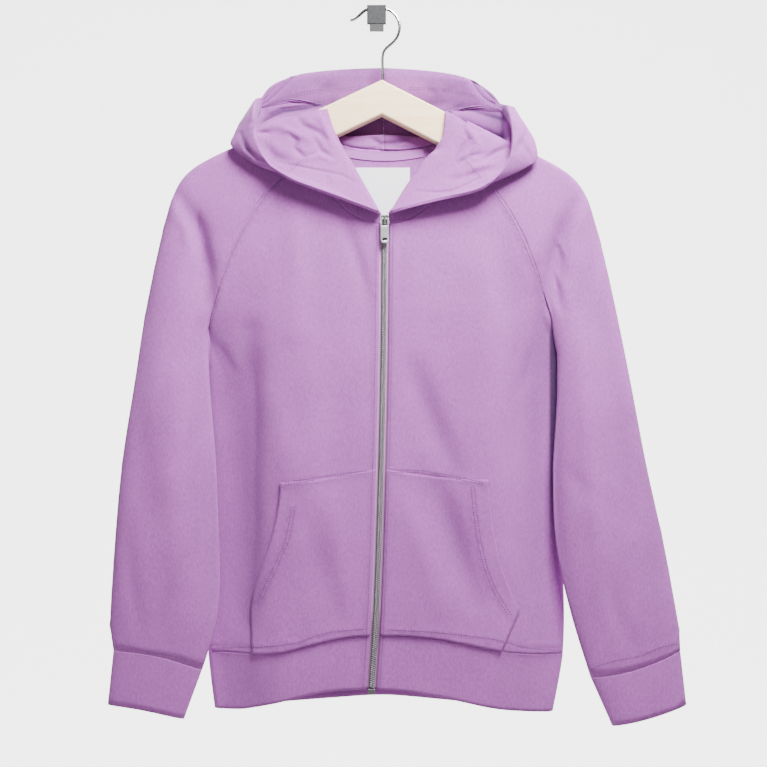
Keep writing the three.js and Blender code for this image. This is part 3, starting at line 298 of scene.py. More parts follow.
# Folds of the front, the back and the hood: a line through x, z points, its half width, and
# its depth in the middle, where a positive depth is a valley and a negative one a ridge.
FRONT_FOLDS = [
    {"line": [(-146, -365), (-150, -536), (-153, -700)], "wide": 15, "deep": 4.6},
    {"line": [(-94, -214), (-91, -300), (-97, -363)], "wide": 15, "deep": -2.2},
    {"line": [(-36, -236), (-22, -280), (-6, -335)], "wide": 8, "deep": 1.7},
    {"line": [(44, -409), (66, -470), (90, -524)], "wide": 14, "deep": 3.4},
    {"line": [(73, -547), (92, -610), (113, -674)], "wide": 14, "deep": 3.6},
    {"line": [(33, -559), (52, -615), (73, -680)], "wide": 14, "deep": -1.6},
    {"line": [(-88, -559), (-68, -620), (-44, -690)], "wide": 16, "deep": 1.6},
    {"line": [(-52, -560), (-40, -640), (-30, -705)], "wide": 13, "deep": -1.3},
    {"line": [(188, -290), (198, -450), (204, -640)], "wide": 9, "deep": 3.4},
    {"line": [(-194, -372), (-178, -398), (-160, -436)], "wide": 8, "deep": 1.9},
    {"line": [(200, -366), (184, -392), (166, -432)], "wide": 8, "deep": 1.7},
    {"line": [(-118, -440), (-100, -520), (-96, -560)], "wide": 17, "deep": -1.4},
    {"line": [(-186, -372), (-172, -470), (-170, -600), (-176, -720)], "wide": 26, "deep": 4.2},
    {"line": [(182, -330), (188, -430), (196, -560), (204, -700)], "wide": 20, "deep": 3.6},
    {"line": [(-76, -380), (-74, -480), (-86, -600)], "wide": 20, "deep": -2.2},
    {"line": [(120, -250), (130, -330), (126, -420)], "wide": 18, "deep": -1.6},
    {"line": [(152, -300), (160, -400), (152, -520)], "wide": 14, "deep": 1.3},
    {"line": [(40, -240), (26, -280), (22, -330)], "wide": 8, "deep": 1.2},
    {"line": [(-262, -329), (-272, -450), (-262, -560)], "wide": 15, "deep": 1.7},
    {"line": [(-226, -420), (-236, -520), (-228, -640)], "wide": 16, "deep": -1.8},
    {"line": [(-205, -460), (-220, -500), (-246, -528)], "wide": 8, "deep": 1.3},
    {"line": [(-212, -600), (-236, -650), (-252, -700)], "wide": 11, "deep": 1.5},
    {"line": [(-286, -600), (-280, -660), (-268, -715)], "wide": 9, "deep": 1.2},
    {"line": [(232, -363), (244, -520), (262, -690)], "wide": 12, "deep": -2.2},
    {"line": [(262, -340), (280, -450), (290, -580)], "wide": 12, "deep": 2.0},
    {"line": [(296, -470), (316, -580), (322, -690)], "wide": 14, "deep": 1.6},
    {"line": [(220, -520), (238, -548), (262, -562)], "wide": 8, "deep": 1.2},
    {"line": [(262, -640), (276, -690), (296, -728)], "wide": 9, "deep": 1.3},
    {"line": [(-230, -190), (-226, -240), (-222, -276)], "wide": 9, "deep": 1.2},
    {"line": [(252, -240), (248, -290), (240, -330)], "wide": 9, "deep": 1.2},
    {"line": [(-242, -209), (-219, -246), (-208, -294), (-204, -342)], "wide": 8, "deep": -2.6},
    {"line": [(-226, -209), (-204, -250), (-195, -296), (-194, -331)], "wide": 8, "deep": 3.4},
    {"line": [(248, -209), (226, -257), (216, -306), (219, -354)], "wide": 8, "deep": -2.6},
    {"line": [(231, -214), (210, -260), (200, -306), (201, -333)], "wide": 8, "deep": 3.6},
]
BACK_FOLDS = [
    {"line": [(-120, -390), (-132, -520), (-126, -690)], "wide": 13, "deep": 3.4},
    {"line": [(-60, -400), (-52, -520), (-66, -640)], "wide": 16, "deep": -2.5},
    {"line": [(96, -380), (112, -500), (104, -650)], "wide": 13, "deep": 3.1},
    {"line": [(40, -420), (30, -560), (44, -690)], "wide": 13, "deep": 2.4},
    {"line": [(160, -420), (152, -560), (166, -700)], "wide": 12, "deep": -2.2},
    {"line": [(-190, -380), (-166, -410), (-148, -452)], "wide": 9, "deep": 3.2},
    {"line": [(200, -372), (176, -402), (160, -446)], "wide": 9, "deep": 3.0},
    {"line": [(-110, -240), (-118, -300), (-108, -350)], "wide": 12, "deep": 1.2},
    {"line": [(128, -240), (138, -300), (126, -356)], "wide": 12, "deep": 1.2},
    {"line": [(-6, -560), (-14, -640), (-2, -705)], "wide": 10, "deep": 2.1},
    {"line": [(-258, -340), (-270, -470), (-262, -600)], "wide": 14, "deep": 1.9},
    {"line": [(-224, -430), (-232, -540), (-224, -660)], "wide": 13, "deep": -1.6},
    {"line": [(-210, -480), (-232, -510), (-258, -524)], "wide": 8, "deep": 1.4},
    {"line": [(262, -350), (280, -480), (296, -620)], "wide": 14, "deep": 1.8},
    {"line": [(232, -420), (246, -540), (258, -650)], "wide": 12, "deep": -1.5},
    {"line": [(228, -520), (250, -548), (282, -560)], "wide": 8, "deep": 1.3},
]
HOOD_FOLDS = [
    {"line": [(-140, -127), (-124, -110), (-111, -104), (-90, -101), (-69, -97), (-50, -92)],
     "wide": 3.5, "deep": 3.6},
    {"line": [(-139, -129), (-128, -122), (-117, -116), (-98, -114), (-67, -108)], "wide": 4, "deep": 2.2},
    {"line": [(-122, -127), (-111, -129), (-94, -137), (-78, -143)], "wide": 5, "deep": -1.5},
    {"line": [(-101, -137), (-92, -145), (-94, -154), (-84, -164), (-67, -160)], "wide": 3, "deep": 1.6},
    {"line": [(-92, -116), (-84, -127), (-67, -135), (-59, -143)], "wide": 3.5, "deep": 1.4},
    {"line": [(-71, -143), (-64, -156), (-52, -164)], "wide": 3, "deep": 1.5},
    {"line": [(-128, -152), (-117, -164), (-101, -170)], "wide": 6, "deep": 2.4},
    {"line": [(-138, -135), (-124, -135)], "wide": 3, "deep": 1.6},
    {"line": [(-67, -114), (-57, -133), (-50, -149)], "wide": 4, "deep": -1.2},
    {"line": [(-88, -168), (-67, -162), (-52, -168)], "wide": 4, "deep": -1.0},
    {"line": [(-117, -168), (-109, -172), (-78, -178), (-40, -185), (-21, -195)], "wide": 1.7, "deep": 0.9},
    {"line": [(-55, -187), (-54, -204)], "wide": 1.7, "deep": 0.8},
    {"line": [(-156, -137), (-149, -156), (-136, -169), (-126, -173)], "wide": 2.6, "deep": 1.8},
    {"line": [(27, -88), (50, -93), (85, -93), (108, -101), (127, -108), (154, -116)],
     "wide": 3.4, "deep": 2.6},
    {"line": [(100, -118), (123, -129), (142, -137), (154, -135)], "wide": 6, "deep": 3.6},
    {"line": [(77, -103), (86, -108), (83, -112)], "wide": 3, "deep": 2.0},
    {"line": [(100, -129), (106, -143), (96, -160), (92, -168)], "wide": 3, "deep": 1.6},
    {"line": [(150, -152), (134, -160), (125, -166)], "wide": 3, "deep": 1.8},
    {"line": [(108, -133), (117, -149), (113, -164)], "wide": 4, "deep": -1.2},
    {"line": [(136, -177), (115, -183), (85, -191)], "wide": 4, "deep": 1.3},
    {"line": [(131, -172), (111, -178), (100, -187)], "wide": 4, "deep": -1.0},
    {"line": [(123, -160), (108, -163), (88, -175)], "wide": 3, "deep": 1.2},
    {"line": [(46, -204), (69, -206), (85, -205), (100, -199), (123, -187)], "wide": 1.7, "deep": 0.9},
    {"line": [(84, -203), (86, -213)], "wide": 1.7, "deep": 0.8},
    {"line": [(58, -71), (69, -81), (85, -77), (100, -81)], "wide": 4, "deep": 1.6},
    {"line": [(21, -68), (37, -76), (56, -73)], "wide": 5, "deep": -1.2},
    {"line": [(-71, -66), (-61, -73), (-44, -76)], "wide": 4, "deep": 1.5},
    {"line": [(-11, -67), (-1, -75), (1, -64)], "wide": 3, "deep": 1.4},
    {"line": [(159, -160), (166, -147), (172, -133)], "wide": 2.6, "deep": 1.6},
    {"line": [(165, -149), (175, -160), (182, -172)], "wide": 4, "deep": 1.2},
    {"line": [(-44, -143), (-29, -149), (-11, -151), (2, -149)], "wide": 3, "deep": 2.6},
    {"line": [(3, -147), (4, -159)], "wide": 1.8, "deep": 1.0},
    {"line": [(-40, -155), (-15, -158), (10, -156)], "wide": 3.5, "deep": -1.2},
    {"line": [(-7, -135), (4, -143), (21, -142), (37, -137)], "wide": 3.2, "deep": 2.2},
    {"line": [(4, -146), (31, -148), (69, -153)], "wide": 3, "deep": 1.0},
    {"line": [(12, -158), (40, -153), (65, -160)], "wide": 3.5, "deep": -1.0},
]

SEAM_CLOSE = 0.17  # each piece's surface moves out so that sewn edges meet
FOLD_DEPTH = 1.5  # all folds are this much deeper than their tables say
FOLD_ENDS = 0.12  # part of a half wave that a fold leaves out at each end
FOLD_BLUNT = 0.8  # under 1, a fold keeps more of its depth toward its ends
FULL_PAINTED_SHADE = 16  # cloth pushed in by this much gets the full painted shade of a hollow

# Where the pieces are joined, as x, z points
WAIST_SEAM = [
    (-194, -737), (-144, -736), (-113, -734.5), (-87, -730), (-68, -722), (-46, -717.5),
    (-7.5, -714.7), (10, -715.6), (64, -718.5), (106, -722.7), (143, -728), (171, -737),
    (216, -740),
]
BACK_SEAM = [(-196, -739), (-120, -737), (-60, -731), (0, -727), (70, -730), (140, -738), (216, -742)]
# From the neck to the hem
ZIP_LINE = [
    (9.5, -239), (9, -279), (8, -386), (6, -490), (3, -596), (0.5, -666), (-2, -720), (-6, -778),
]
# Where the hood's sides drop behind the hanger, as x, z points
HOOD_TOP = [
    (-160, -146), (-139, -130), (-132, -123), (-117, -116), (-88, -112), (-60, -108), (-40, -100),
    (-39, -60), (59, -60), (60, -99), (81, -110), (107, -125), (127, -136), (148, -145), (170, -152),
]

# Small waves of the cloth where it is sewn to its bands
GATHERS = [
    {"long": 5.1, "start": 0.4, "tall": 0.30},
    {"long": 3.3, "start": 1.9, "tall": 0.21},
    {"long": 8.7, "start": 5.0, "tall": 0.18},
]
GATHER_FADE = 16  # height over which the waves die away
GATHER_REACH = 200  # from the waist's middle to the last wave
WAIST_MIDDLE = -1
BACK_DRIFT = (40, -30)  # the back swells as the front does this far away

# At each height, as value and height: how far the body's right edge leans out, the depth of
# a sleeve's middle, the x of its inner edge from the garment's middle, and how far that edge
# moves toward the body on each side
EDGE_LEAN = [(0, -342), (2.0, -366), (4.2, -390), (4.0, -440), (2.0, -520), (0.5, -600), (0, -680)]
SLEEVE_DEPTH = [(-17, -150), (-22, -250), (-27, -350), (-34, -430)]
INNER_EDGE = [
    (192, -340), (192, -370), (192, -400), (190, -450), (188, -520), (190, -600), (200, -700),
]
LEFT_CLOSE = [
    (0, -366), (1.6, -378), (3.4, -400), (4.5, -450), (3.8, -520), (2.2, -600), (0, -680),
]
RIGHT_CLOSE = [
    (0, -350), (1.2, -364), (0, -376), (-2.5, -392), (-1.0, -440), (2.5, -520), (2.2, -600),
    (0, -680),
]

# Where each layer's moves begin and where they are whole, and what limits them
CALM = {"from_zip": (7, 26), "z": (-150, -235)}
EDGE_X = (188, 206)
FRONT = {"y": (-19, -31), "gather_y": (-20, -32), "most": 5.5}
# Painted shade: a dark strip at the body's right edge below the armpit, where its side turns back into
# shadow beside the sleeve; the x where it starts and the heights where it fades in and out
ARMPIT_PAINTED_SHADE = {"x": (200, 205), "top": (-300, -370), "low": (-700, -520)}
BACK = {"from_middle": (204, 180), "part": 0.9}
SLEEVE = {"from_depth": (2, 11), "from_inner": (34, 4)}
BAND = {"y": (-20, -32), "front_y": -25, "gathers": 0.8}
HOOD = {
    "over_y": (-15, -19), "over_z": (0, 6), "over_left": (-141, -134), "over_right": (154, 147),
    "over_to": -12, "over_part": 0.88, "ahead_y": (-14, -26),
    "brim_part": 0.8, "brim_back": -2.4, "brim_most": 0.2,
}
# Painted shade on the hood, where it stands in shadow: the brim's heights, the left outer band's x and
# heights, the x of the fallen top's right corner, the fold depth that gives a full shade, and how dark the
# brim, the fallen top, its corner and the band are
HOOD_PAINTED_SHADE = {
    "brim_z": (-150, -120), "band_x": (-139, -146), "band_z": (-100, -130), "corner_x": (112, 146),
    "fold": 9, "brim": 0.48, "over": 0.34, "corner": 0.35, "band": 0.38,
}


def line_distance(x, z, line):
    """Distance from each point to a line through the given points, and how far along it is."""
    best = np.full(x.shape, 1e9)
    along = np.zeros(x.shape)
    points = np.array(line, dtype=float)
    spans = np.linalg.norm(np.diff(points, axis=0), axis=1)
    start = 0.0
    for a, b, span in zip(points[:-1], points[1:], spans):
        d = (b - a) / span
        t = np.clip((x - a[0]) * d[0] + (z - a[1]) * d[1], 0, span)
        away = np.hypot(x - a[0] - t * d[0], z - a[1] - t * d[1])
        closer = away < best
        best = np.where(closer, away, best)
        along = np.where(closer, (start + t) / spans.sum(), along)
        start += span
    return best, along


def smooth_step(low, high, x):
    t = np.clip((x - low) / (high - low), 0, 1)
    return t * t * (3 - 2 * t)


def at_x(x, line):
    """Height of a line of x, z points at each x."""
    return np.interp(x, [p[0] for p in line], [p[1] for p in line])


def at_height(z, rows):
    """Value at each height, from rows of value and height that run downward."""
    return np.interp(-z, [-row[1] for row in rows], [row[0] for row in rows])


def folds_at(x, z, folds):
    """How far the folds push the cloth at each point, into the wall."""
    total = np.zeros(x.shape)
    for fold in folds:
        away, along = line_distance(x, z, fold["line"])
        wave = FOLD_ENDS + (1 - 2 * FOLD_ENDS) * along
        fade = np.sin(math.pi * np.clip(wave, 0, 1)) ** FOLD_BLUNT
        total += FOLD_DEPTH * fold["deep"] * fade * np.exp(-((away / fold["wide"]) ** 2))
    return total


def gathers_at(x, z):
    """Small uneven gathers where the body and sleeves are sewn to their bands."""
    waves = sum(row["tall"] * np.sin(x / row["long"] + row["start"]) for row in GATHERS)
    near = np.exp(-np.abs(z - at_x(x, WAIST_SEAM)) / GATHER_FADE)
    return waves * near * (np.abs(x - WAIST_MIDDLE) < GATHER_REACH)


def drift_at(x, z):
    """Slow uneven swell of soft cloth."""
    return (
        0.8 * np.sin(x / 31 + z / 77 + 0.6) * np.sin(z / 49 - x / 95 + 1.1)
        + 0.4 * np.sin(x / 15.5 - z / 36 + 2.0) * np.sin(z / 23 + x / 61)
    )


def front_push(x, z):
    return folds_at(x, z, FRONT_FOLDS) + drift_at(x, z)


def back_push(x, z):
    return folds_at(x, z, BACK_FOLDS) + drift_at(x + BACK_DRIFT[0], z + BACK_DRIFT[1])


def calm_at(x, z):
    """Less movement beside the zip, and less under the hood and near the hanger."""
    from_zip = np.abs(x - at_height(z, ZIP_LINE))
    return smooth_step(*CALM["from_zip"], from_zip), smooth_step(*CALM["z"], z)


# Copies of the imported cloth, made finer
CREASE_FROM = 50  # edges that bend by more degrees than this stay sharp
SAME_POINT = 0.02
FOLD_REACH = 0.6  # across a sleeve's outer fold, from its front half to its back half
UNDERARM = {"below": -340, "within": 255}  # the sewn edge, which keeps its seam
PARTS_OF = {
    "sleeve_left": ["sleeve_left_front", "sleeve_left_back"],
    "sleeve_right": ["sleeve_right_front", "sleeve_right_back"],
}


def weld_sleeve(shape, split):
    """Joins a sleeve's front and back layers along the outer fold, where nothing is sewn."""
    shape.verts.ensure_lookup_table()
    rear = kdtree.KDTree(len(shape.verts) - split)
    for k in range(split, len(shape.verts)):
        rear.insert(shape.verts[k].co, k)
    rear.balance()
    shape.verts.index_update()
    paired = set()
    for vert in shape.verts[:split]:
        within = abs(vert.co.x - MIDDLE * MM) < UNDERARM["within"] * MM
        underarm = within and vert.co.z < UNDERARM["below"] * MM
        _, k, away = rear.find(vert.co)
        if away < FOLD_REACH * MM and not underarm:
            paired.update((vert.index, k))
    edge_verts = [shape.verts[k] for k in sorted(paired)]
    rims = [f for f in shape.faces if all(v.index in paired for v in f.verts)]
    bmesh.ops.delete(shape, geom=rims, context="FACES_ONLY")
    bmesh.ops.remove_doubles(shape, verts=edge_verts, dist=FOLD_REACH * MM)


def smooth_copy(node, levels):
    """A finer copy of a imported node, rounded everywhere but along its sharp edges."""
    mesh = bpy.data.meshes.new(node)
    shape = bmesh.new()
    for part in PARTS_OF.get(node, [node]):
        split = len(shape.verts)
        whole = bmesh.new()
        whole.from_mesh(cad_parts[part].data)
        bmesh.ops.remove_doubles(whole, verts=whole.verts, dist=SAME_POINT * MM)
        joined = bpy.data.meshes.new(part)
        whole.to_mesh(joined)
        whole.free()
        shape.from_mesh(joined)
        bpy.data.meshes.remove(joined)
    if node in PARTS_OF:
        weld_sleeve(shape, split)
    bmesh.ops.join_triangles(
        shape, faces=shape.faces[:], angle_face_threshold=math.radians(40),
        angle_shape_threshold=math.radians(75),
    )
    crease = shape.edges.layers.float.new("crease_edge")
    for edge in shape.edges:
        if len(edge.link_faces) == 2 and edge.calc_face_angle(0) > math.radians(CREASE_FROM):
            edge[crease] = 1.0
    for face in shape.faces:
        face.smooth = True
    shape.to_mesh(mesh)
    shape.free()
    obj = bpy.data.objects.new(node + "_piece", mesh)
    bpy.context.collection.objects.link(obj)
    if levels:
        finer = obj.modifiers.new("finer", "SUBSURF")
        finer.levels = finer.render_levels = levels
        apply_modifiers(obj)
    return obj


def apply_modifiers(obj):
    graph = bpy.context.evaluated_depsgraph_get()
    made = bpy.data.meshes.new_from_object(obj.evaluated_get(graph))
    old = obj.data
    obj.modifiers.clear()
    obj.data = made
    bpy.data.meshes.remove(old)


def points_of(obj):
    flat = np.empty(len(obj.data.vertices) * 3)
    obj.data.vertices.foreach_get("co", flat)
    return flat.reshape(-1, 3) / MM


def set_points(obj, points):
    obj.data.vertices.foreach_set("co", (points * MM).ravel())
    obj.data.update()


def normals_of(obj):
    flat = np.empty(len(obj.data.vertices) * 3)
    obj.data.vertex_normals.foreach_get("vector", flat)
    return flat.reshape(-1, 3)


def keep_at_points(obj, name, values):
    """Keeps a value at each point, for the knit's tint and relief to read."""
    layer = obj.data.attributes.new(name, "FLOAT", "POINT")
    layer.data.foreach_set("value", values.astype(np.float32))


# Moves of each layer. Each changes x and y where they are and gives the painted shade of the cloth, darker
# where it is pushed in.
def lean_edge(x, z):
    x += at_height(z, EDGE_LEAN) * smooth_step(*EDGE_X, x)


def move_front(obj, x, y, z):
    was = y.copy()
    beside, below = calm_at(x, z)
    push = np.minimum(front_push(x, z), FRONT["most"]) * smooth_step(*FRONT["y"], y) * below
    lean_edge(x, z)
    y += beside * (push + gathers_at(x, z) * smooth_step(*FRONT["gather_y"], y))
    # Painted shade: darker where the folds push the front in, and a dark strip at its right edge below the
    # armpit, where the side turns back into shadow.
    painted_armpit_strip = smooth_step(*ARMPIT_PAINTED_SHADE["x"], x) * smooth_step(*ARMPIT_PAINTED_SHADE["top"], z)
    return (y - was) / FULL_PAINTED_SHADE + painted_armpit_strip * smooth_step(*ARMPIT_PAINTED_SHADE["low"], z)


def move_back(obj, x, y, z):
    was = y.copy()
    push = BACK["part"] * back_push(x, z) * calm_at(x, z)[1]
    lean_edge(x, z)
    y -= push * smooth_step(*BACK["from_middle"], np.abs(x - MIDDLE))
    return (was - y) / FULL_PAINTED_SHADE


def move_sleeve(obj, x, y, z):
    was = y.copy()
    middle = at_height(z, SLEEVE_DEPTH)
    push = np.where(y < middle, front_push(x, z), -back_push(x, z)) * calm_at(x, z)[1]
    side = np.sign(x - MIDDLE)
    near = smooth_step(*SLEEVE["from_inner"], np.abs(x - MIDDLE) - at_height(z, INNER_EDGE))
    x -= side * near * np.where(side < 0, at_height(z, LEFT_CLOSE), at_height(z, RIGHT_CLOSE))
    y += push * smooth_step(*SLEEVE["from_depth"], np.abs(y - middle))
    return (y - was) / FULL_PAINTED_SHADE


def move_band(obj, x, y, z):
    was = y.copy()
    beside = calm_at(x, z)[0]
    push = np.where(y < BAND["front_y"], front_push(x, z), 0)
    y += push * beside * smooth_step(*BAND["y"], y)
    y += BAND["gathers"] * gathers_at(x, z) * np.where(y < BAND["front_y"], beside, 1)
    return (y - was) / FULL_PAINTED_SHADE


def move_hood(obj, x, y, z):
    """The hood's top falls over behind the hanger, and its brim's folds stay behind its sides. It gives
    painted shade in its folds and on its shadowed brim, fallen top, right corner and left outer band.
    """
    facing = np.abs(normals_of(obj)[:, 1])
    over = smooth_step(*HOOD["over_y"], y) * smooth_step(*HOOD["over_z"], z - at_x(x, HOOD_TOP))
    over *= smooth_step(*HOOD["over_left"], x) * smooth_step(*HOOD["over_right"], x)
    y += over * (HOOD["over_part"] * (HOOD["over_to"] - y))
    folds = folds_at(x, z, HOOD_FOLDS)
    ahead = smooth_step(*HOOD["ahead_y"], y)
    on_brim = np.minimum(HOOD["brim_part"] * folds + HOOD["brim_back"], HOOD["brim_most"])
    y += facing * (folds * ahead + on_brim * (1 - ahead))
    # Painted shade: the brim, the top that falls behind the hanger with its right corner, and the left
    # outer band are tinted darker, as they stand in shadow; folds darken with their depth.
    brim = (1 - ahead) * smooth_step(*HOOD_PAINTED_SHADE["brim_z"], z)
    band = smooth_step(*HOOD_PAINTED_SHADE["band_x"], x) * smooth_step(*HOOD_PAINTED_SHADE["band_z"], z)
    corner = over * smooth_step(*HOOD_PAINTED_SHADE["corner_x"], x)
    return (
        folds / HOOD_PAINTED_SHADE["fold"] + HOOD_PAINTED_SHADE["brim"] * brim * (1 - over)
        + HOOD_PAINTED_SHADE["over"] * over + HOOD_PAINTED_SHADE["corner"] * corner + HOOD_PAINTED_SHADE["band"] * band
    )


MOVES = {
    "front": move_front, "back": move_back, "sleeve": move_sleeve, "band": move_band,
    "hood": move_hood,
}


def crumple(obj, layer):
    """Moves a cloth piece's points by the folds of its layer, keeps the painted shade that these moves
    give, then closes its seams.
    """
    points = points_of(obj)
    painted_shade = MOVES[layer](obj, *points.T)
    keep_at_points(obj, "painted_shade", np.clip(painted_shade, 0, 1))
    set_points(obj, points)
    set_points(obj, points + SEAM_CLOSE * normals_of(obj))


PUCKER_WIDE = 4  # from a sewn line to where its dimples and painted shade end


def mark_seams(obj, lines):
    """Keeps, at each point, how near it is to a sewn line."""
    x, _, z = points_of(obj).T
    near = np.zeros(x.shape)
    for line in lines:
        away, _ = line_distance(x, z, line)
        near = np.maximum(near, np.exp(-((away / PUCKER_WIDE) ** 2)))
    keep_at_points(obj, "near_seam", near)


def shade_flat(obj):
    """Flat faces look flat, with no shading carried over from their bevels."""
    obj.data.polygons.foreach_set("use_smooth", [False] * len(obj.data.polygons))


def finish_piece(obj, material, slot, body, *nodes):
    obj.data.materials.clear()
    obj.data.materials.append(material)
    obj.data.polygons.foreach_set("use_smooth", [True] * len(obj.data.polygons))
    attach(obj, body)
    if nodes:
        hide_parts(*nodes)


# Sewn lines seen from the front, where they cross the chest plane, and from the back
BELOW_EDGE = 1.2  # from a sewn edge down to the line below it
TOP_PAIR = 2.6  # between the two rows of a double line
SIDE_PAIR = 4
ZIP_STITCH = 9.5  # from the zip's middle to the line sewn beside it
WAIST_STITCH = 8  # from the waist seam up to the line sewn above it
RAGLAN_STITCH = 3.4  # from a raglan seam to the line on the body's side of it
RAGLAN = {
    "left": [
        (-84, -162), (-108, -184), (-130, -206), (-151, -238), (-169, -273), (-185, -316),
        (-199, -366),
    ],
    "right": [
        (103, -163), (119, -182), (137, -201), (155, -226), (171, -257), (189, -301), (207, -357),
    ],
}
BACK_RAGLAN = {
    "left": [
        (-68, -134), (-87, -162), (-109, -192), (-131, -227), (-153, -268), (-176, -314),
        (-199, -366),
    ],
    "right": [
        (86, -137), (104, -164), (125, -194), (147, -230), (167, -269), (188, -316), (207, -357),
    ],
}
POCKET_TOPS = {
    "left": [(-109, -538.5), (-80, -533), (-40, -527), (-8, -523.5)],
    "right": [(8.5, -523), (50, -523), (95, -531), (127, -538)],
}
POCKET_SIDES = {
    "left": [(-97, -566), (-104, -604.5), (-118.5, -636), (-136.5, -676)],
    "right": [
        (112.5, -539.5), (114.5, -565.5), (119.5, -602), (126.5, -634), (137.5, -662), (157, -694),
    ],
}
CUFF_LINES = {
    "left": [
        (-306.5, -723), (-283.5, -726.5), (-264, -734), (-234, -738), (-214.5, -742.5),
        (-197.5, -748),
    ],
    "right": [
        (241, -757.5), (253.5, -750), (269.5, -744.5), (305, -738), (328.5, -727), (351, -724),
    ],
}
HOOD_HEM = {
    "left": [(-1.5, -81.4), (-36, -85), (-76, -88), (-105, -95), (-131, -108)],
    "right": [(34, -83.7), (73, -85), (107.5, -91.8), (140, -103)],
}
TOWARD_MIDDLE = {"left": 1, "right": -1}


def shifted(line, dx, dz):
    return [(x + dx, z + dz) for x, z in line]


def part_of(line, low, high):
    return [p for p in line if low <= p[0] <= high]


def front_stitching():
    lines = [shifted(ZIP_LINE, side * ZIP_STITCH, 0) for side in (-1, 1)]
    for name, toward in TOWARD_MIDDLE.items():
        lines.append(shifted(POCKET_TOPS[name], 0, -BELOW_EDGE))
        lines.append(shifted(POCKET_TOPS[name], 0, -BELOW_EDGE - TOP_PAIR))
        lines.append(POCKET_SIDES[name])
        lines.append(shifted(POCKET_SIDES[name], toward * SIDE_PAIR, 0))
        lines.append(CUFF_LINES[name])
        lines.append(shifted(RAGLAN[name], toward * RAGLAN_STITCH, -BELOW_EDGE))
    for low, high in ((-300, 0), (5, 300)):
        lines.append(shifted(part_of(WAIST_SEAM, low, high), 0, WAIST_STITCH))
    return lines


def back_stitching():
    lines = [shifted(BACK_SEAM, 0, WAIST_STITCH)]
    for name, toward in TOWARD_MIDDLE.items():
        lines.append(shifted(BACK_RAGLAN[name], toward * RAGLAN_STITCH, -BELOW_EDGE))
    return lines


def hood_stitching():
    lines = []
    for line in HOOD_HEM.values():
        lines.append(line)
        lines.append(shifted(line, 0, -TOP_PAIR))
    return lines


# Pieces of cloth: subdivision, layer, flat size of the cut as width and length in metres
CLOTH = {
    "front_left": {"levels": 3, "layer": "front", "flat": (0.215, 0.60), "area": 0.095},
    "front_right": {"levels": 3, "layer": "front", "flat": (0.22, 0.60), "area": 0.096},
    "back": {"levels": 3, "layer": "back", "flat": (0.43, 0.62), "area": 0.215},
    "sleeve_left": {"levels": 2, "layer": "sleeve", "flat": (0.30, 0.66), "area": 0.14},
    "sleeve_right": {"levels": 2, "layer": "sleeve", "flat": (0.30, 0.66), "area": 0.14},
    "cuff_left": {"levels": 2, "layer": "sleeve", "flat": (0.20, 0.065), "area": 0.012},
    "cuff_right": {"levels": 2, "layer": "sleeve", "flat": (0.19, 0.065), "area": 0.012},
    "waistband": {"levels": 3, "layer": "band", "flat": (0.84, 0.065), "area": 0.05},
    "hood_left": {"levels": 3, "layer": "hood", "flat": (0.33, 0.42), "area": 0.09},
    "hood_right": {"levels": 3, "layer": "hood", "flat": (0.33, 0.42), "area": 0.09},
    "pocket_left": {"levels": 3, "layer": "front", "flat": (0.15, 0.215), "area": 0.025},
    "pocket_right": {"levels": 3, "layer": "front", "flat": (0.16, 0.215), "area": 0.026},
}


def make_cloth():
    fleece = knit("fleece")
    rib = knit("rib_fleece", rib=True)
    front_lines = front_stitching()
    made = {}
    for node, facts in CLOTH.items():
        obj = smooth_copy(node, facts["levels"])
        crumple(obj, facts["layer"])
        mark_seams(obj, [WAIST_SEAM, *front_lines] if facts["layer"] != "back" else [BACK_SEAM])
        banded = facts["layer"] == "band" or node.startswith("cuff")
        finish_piece(obj, rib if banded else fleece, "cloth", "hoodie", *PARTS_OF.get(node, [node]))
        made[node] = obj
    return made


# Sewing
STITCH = {"pitch": 3.2, "long": 2.6, "thick": 0.5, "rounding": 30}
STITCH_SKIP = 3.2  # a step longer than this many pitches crosses an edge, so it has no stitch
STITCH_RINGS = [
    {"along": -0.5, "size": 0.35, "sunk": 0.7},
    {"along": -0.25, "size": 0.95, "sunk": 0.25},
    {"along": 0.25, "size": 0.95, "sunk": 0.25},
    {"along": 0.5, "size": 0.35, "sunk": 0.7},
]
BEHIND_Y = 400  # a plane well behind the garment
AHEAD_Y = -200  # a plane well in front of the zip


def seen_from_camera(x, z):
    start = Vector(CAMERA) * MM
    return start, (Vector((x, CHEST_Y, z)) * MM - start).normalized()


def seen_from_back(x, z):
    return Vector((x, BEHIND_Y, z)) * MM, Vector((0, -1, 0))


def lengths_to(points):
    """Length of a line up to each of its points."""
    return np.concatenate([[0], np.cumsum(np.linalg.norm(np.diff(points, axis=0), axis=1))])


def spaced(line, pitch):
    """Points at even steps along a rounded line."""
    points = np.array(line, dtype=float)
    half = STITCH["rounding"]
    spans = lengths_to(points)
    fine = np.linspace(0, spans[-1], 2 * half * len(points))
    bent = np.stack([np.interp(fine, spans, points[:, k]) for k in range(2)], axis=1)
    kernel = np.hanning(2 * half + 1)
    kernel /= kernel.sum()
    padded = np.pad(bent, ((half, half), (0, 0)), mode="reflect", reflect_type="odd")
    bent = np.stack([np.convolve(padded[:, k], kernel, mode="valid") for k in range(2)], axis=1)
    run = lengths_to(bent)
    at = np.arange(pitch / 2, run[-1], pitch)
    return [(np.interp(s, run, bent[:, 0]), np.interp(s, run, bent[:, 1])) for s in at]


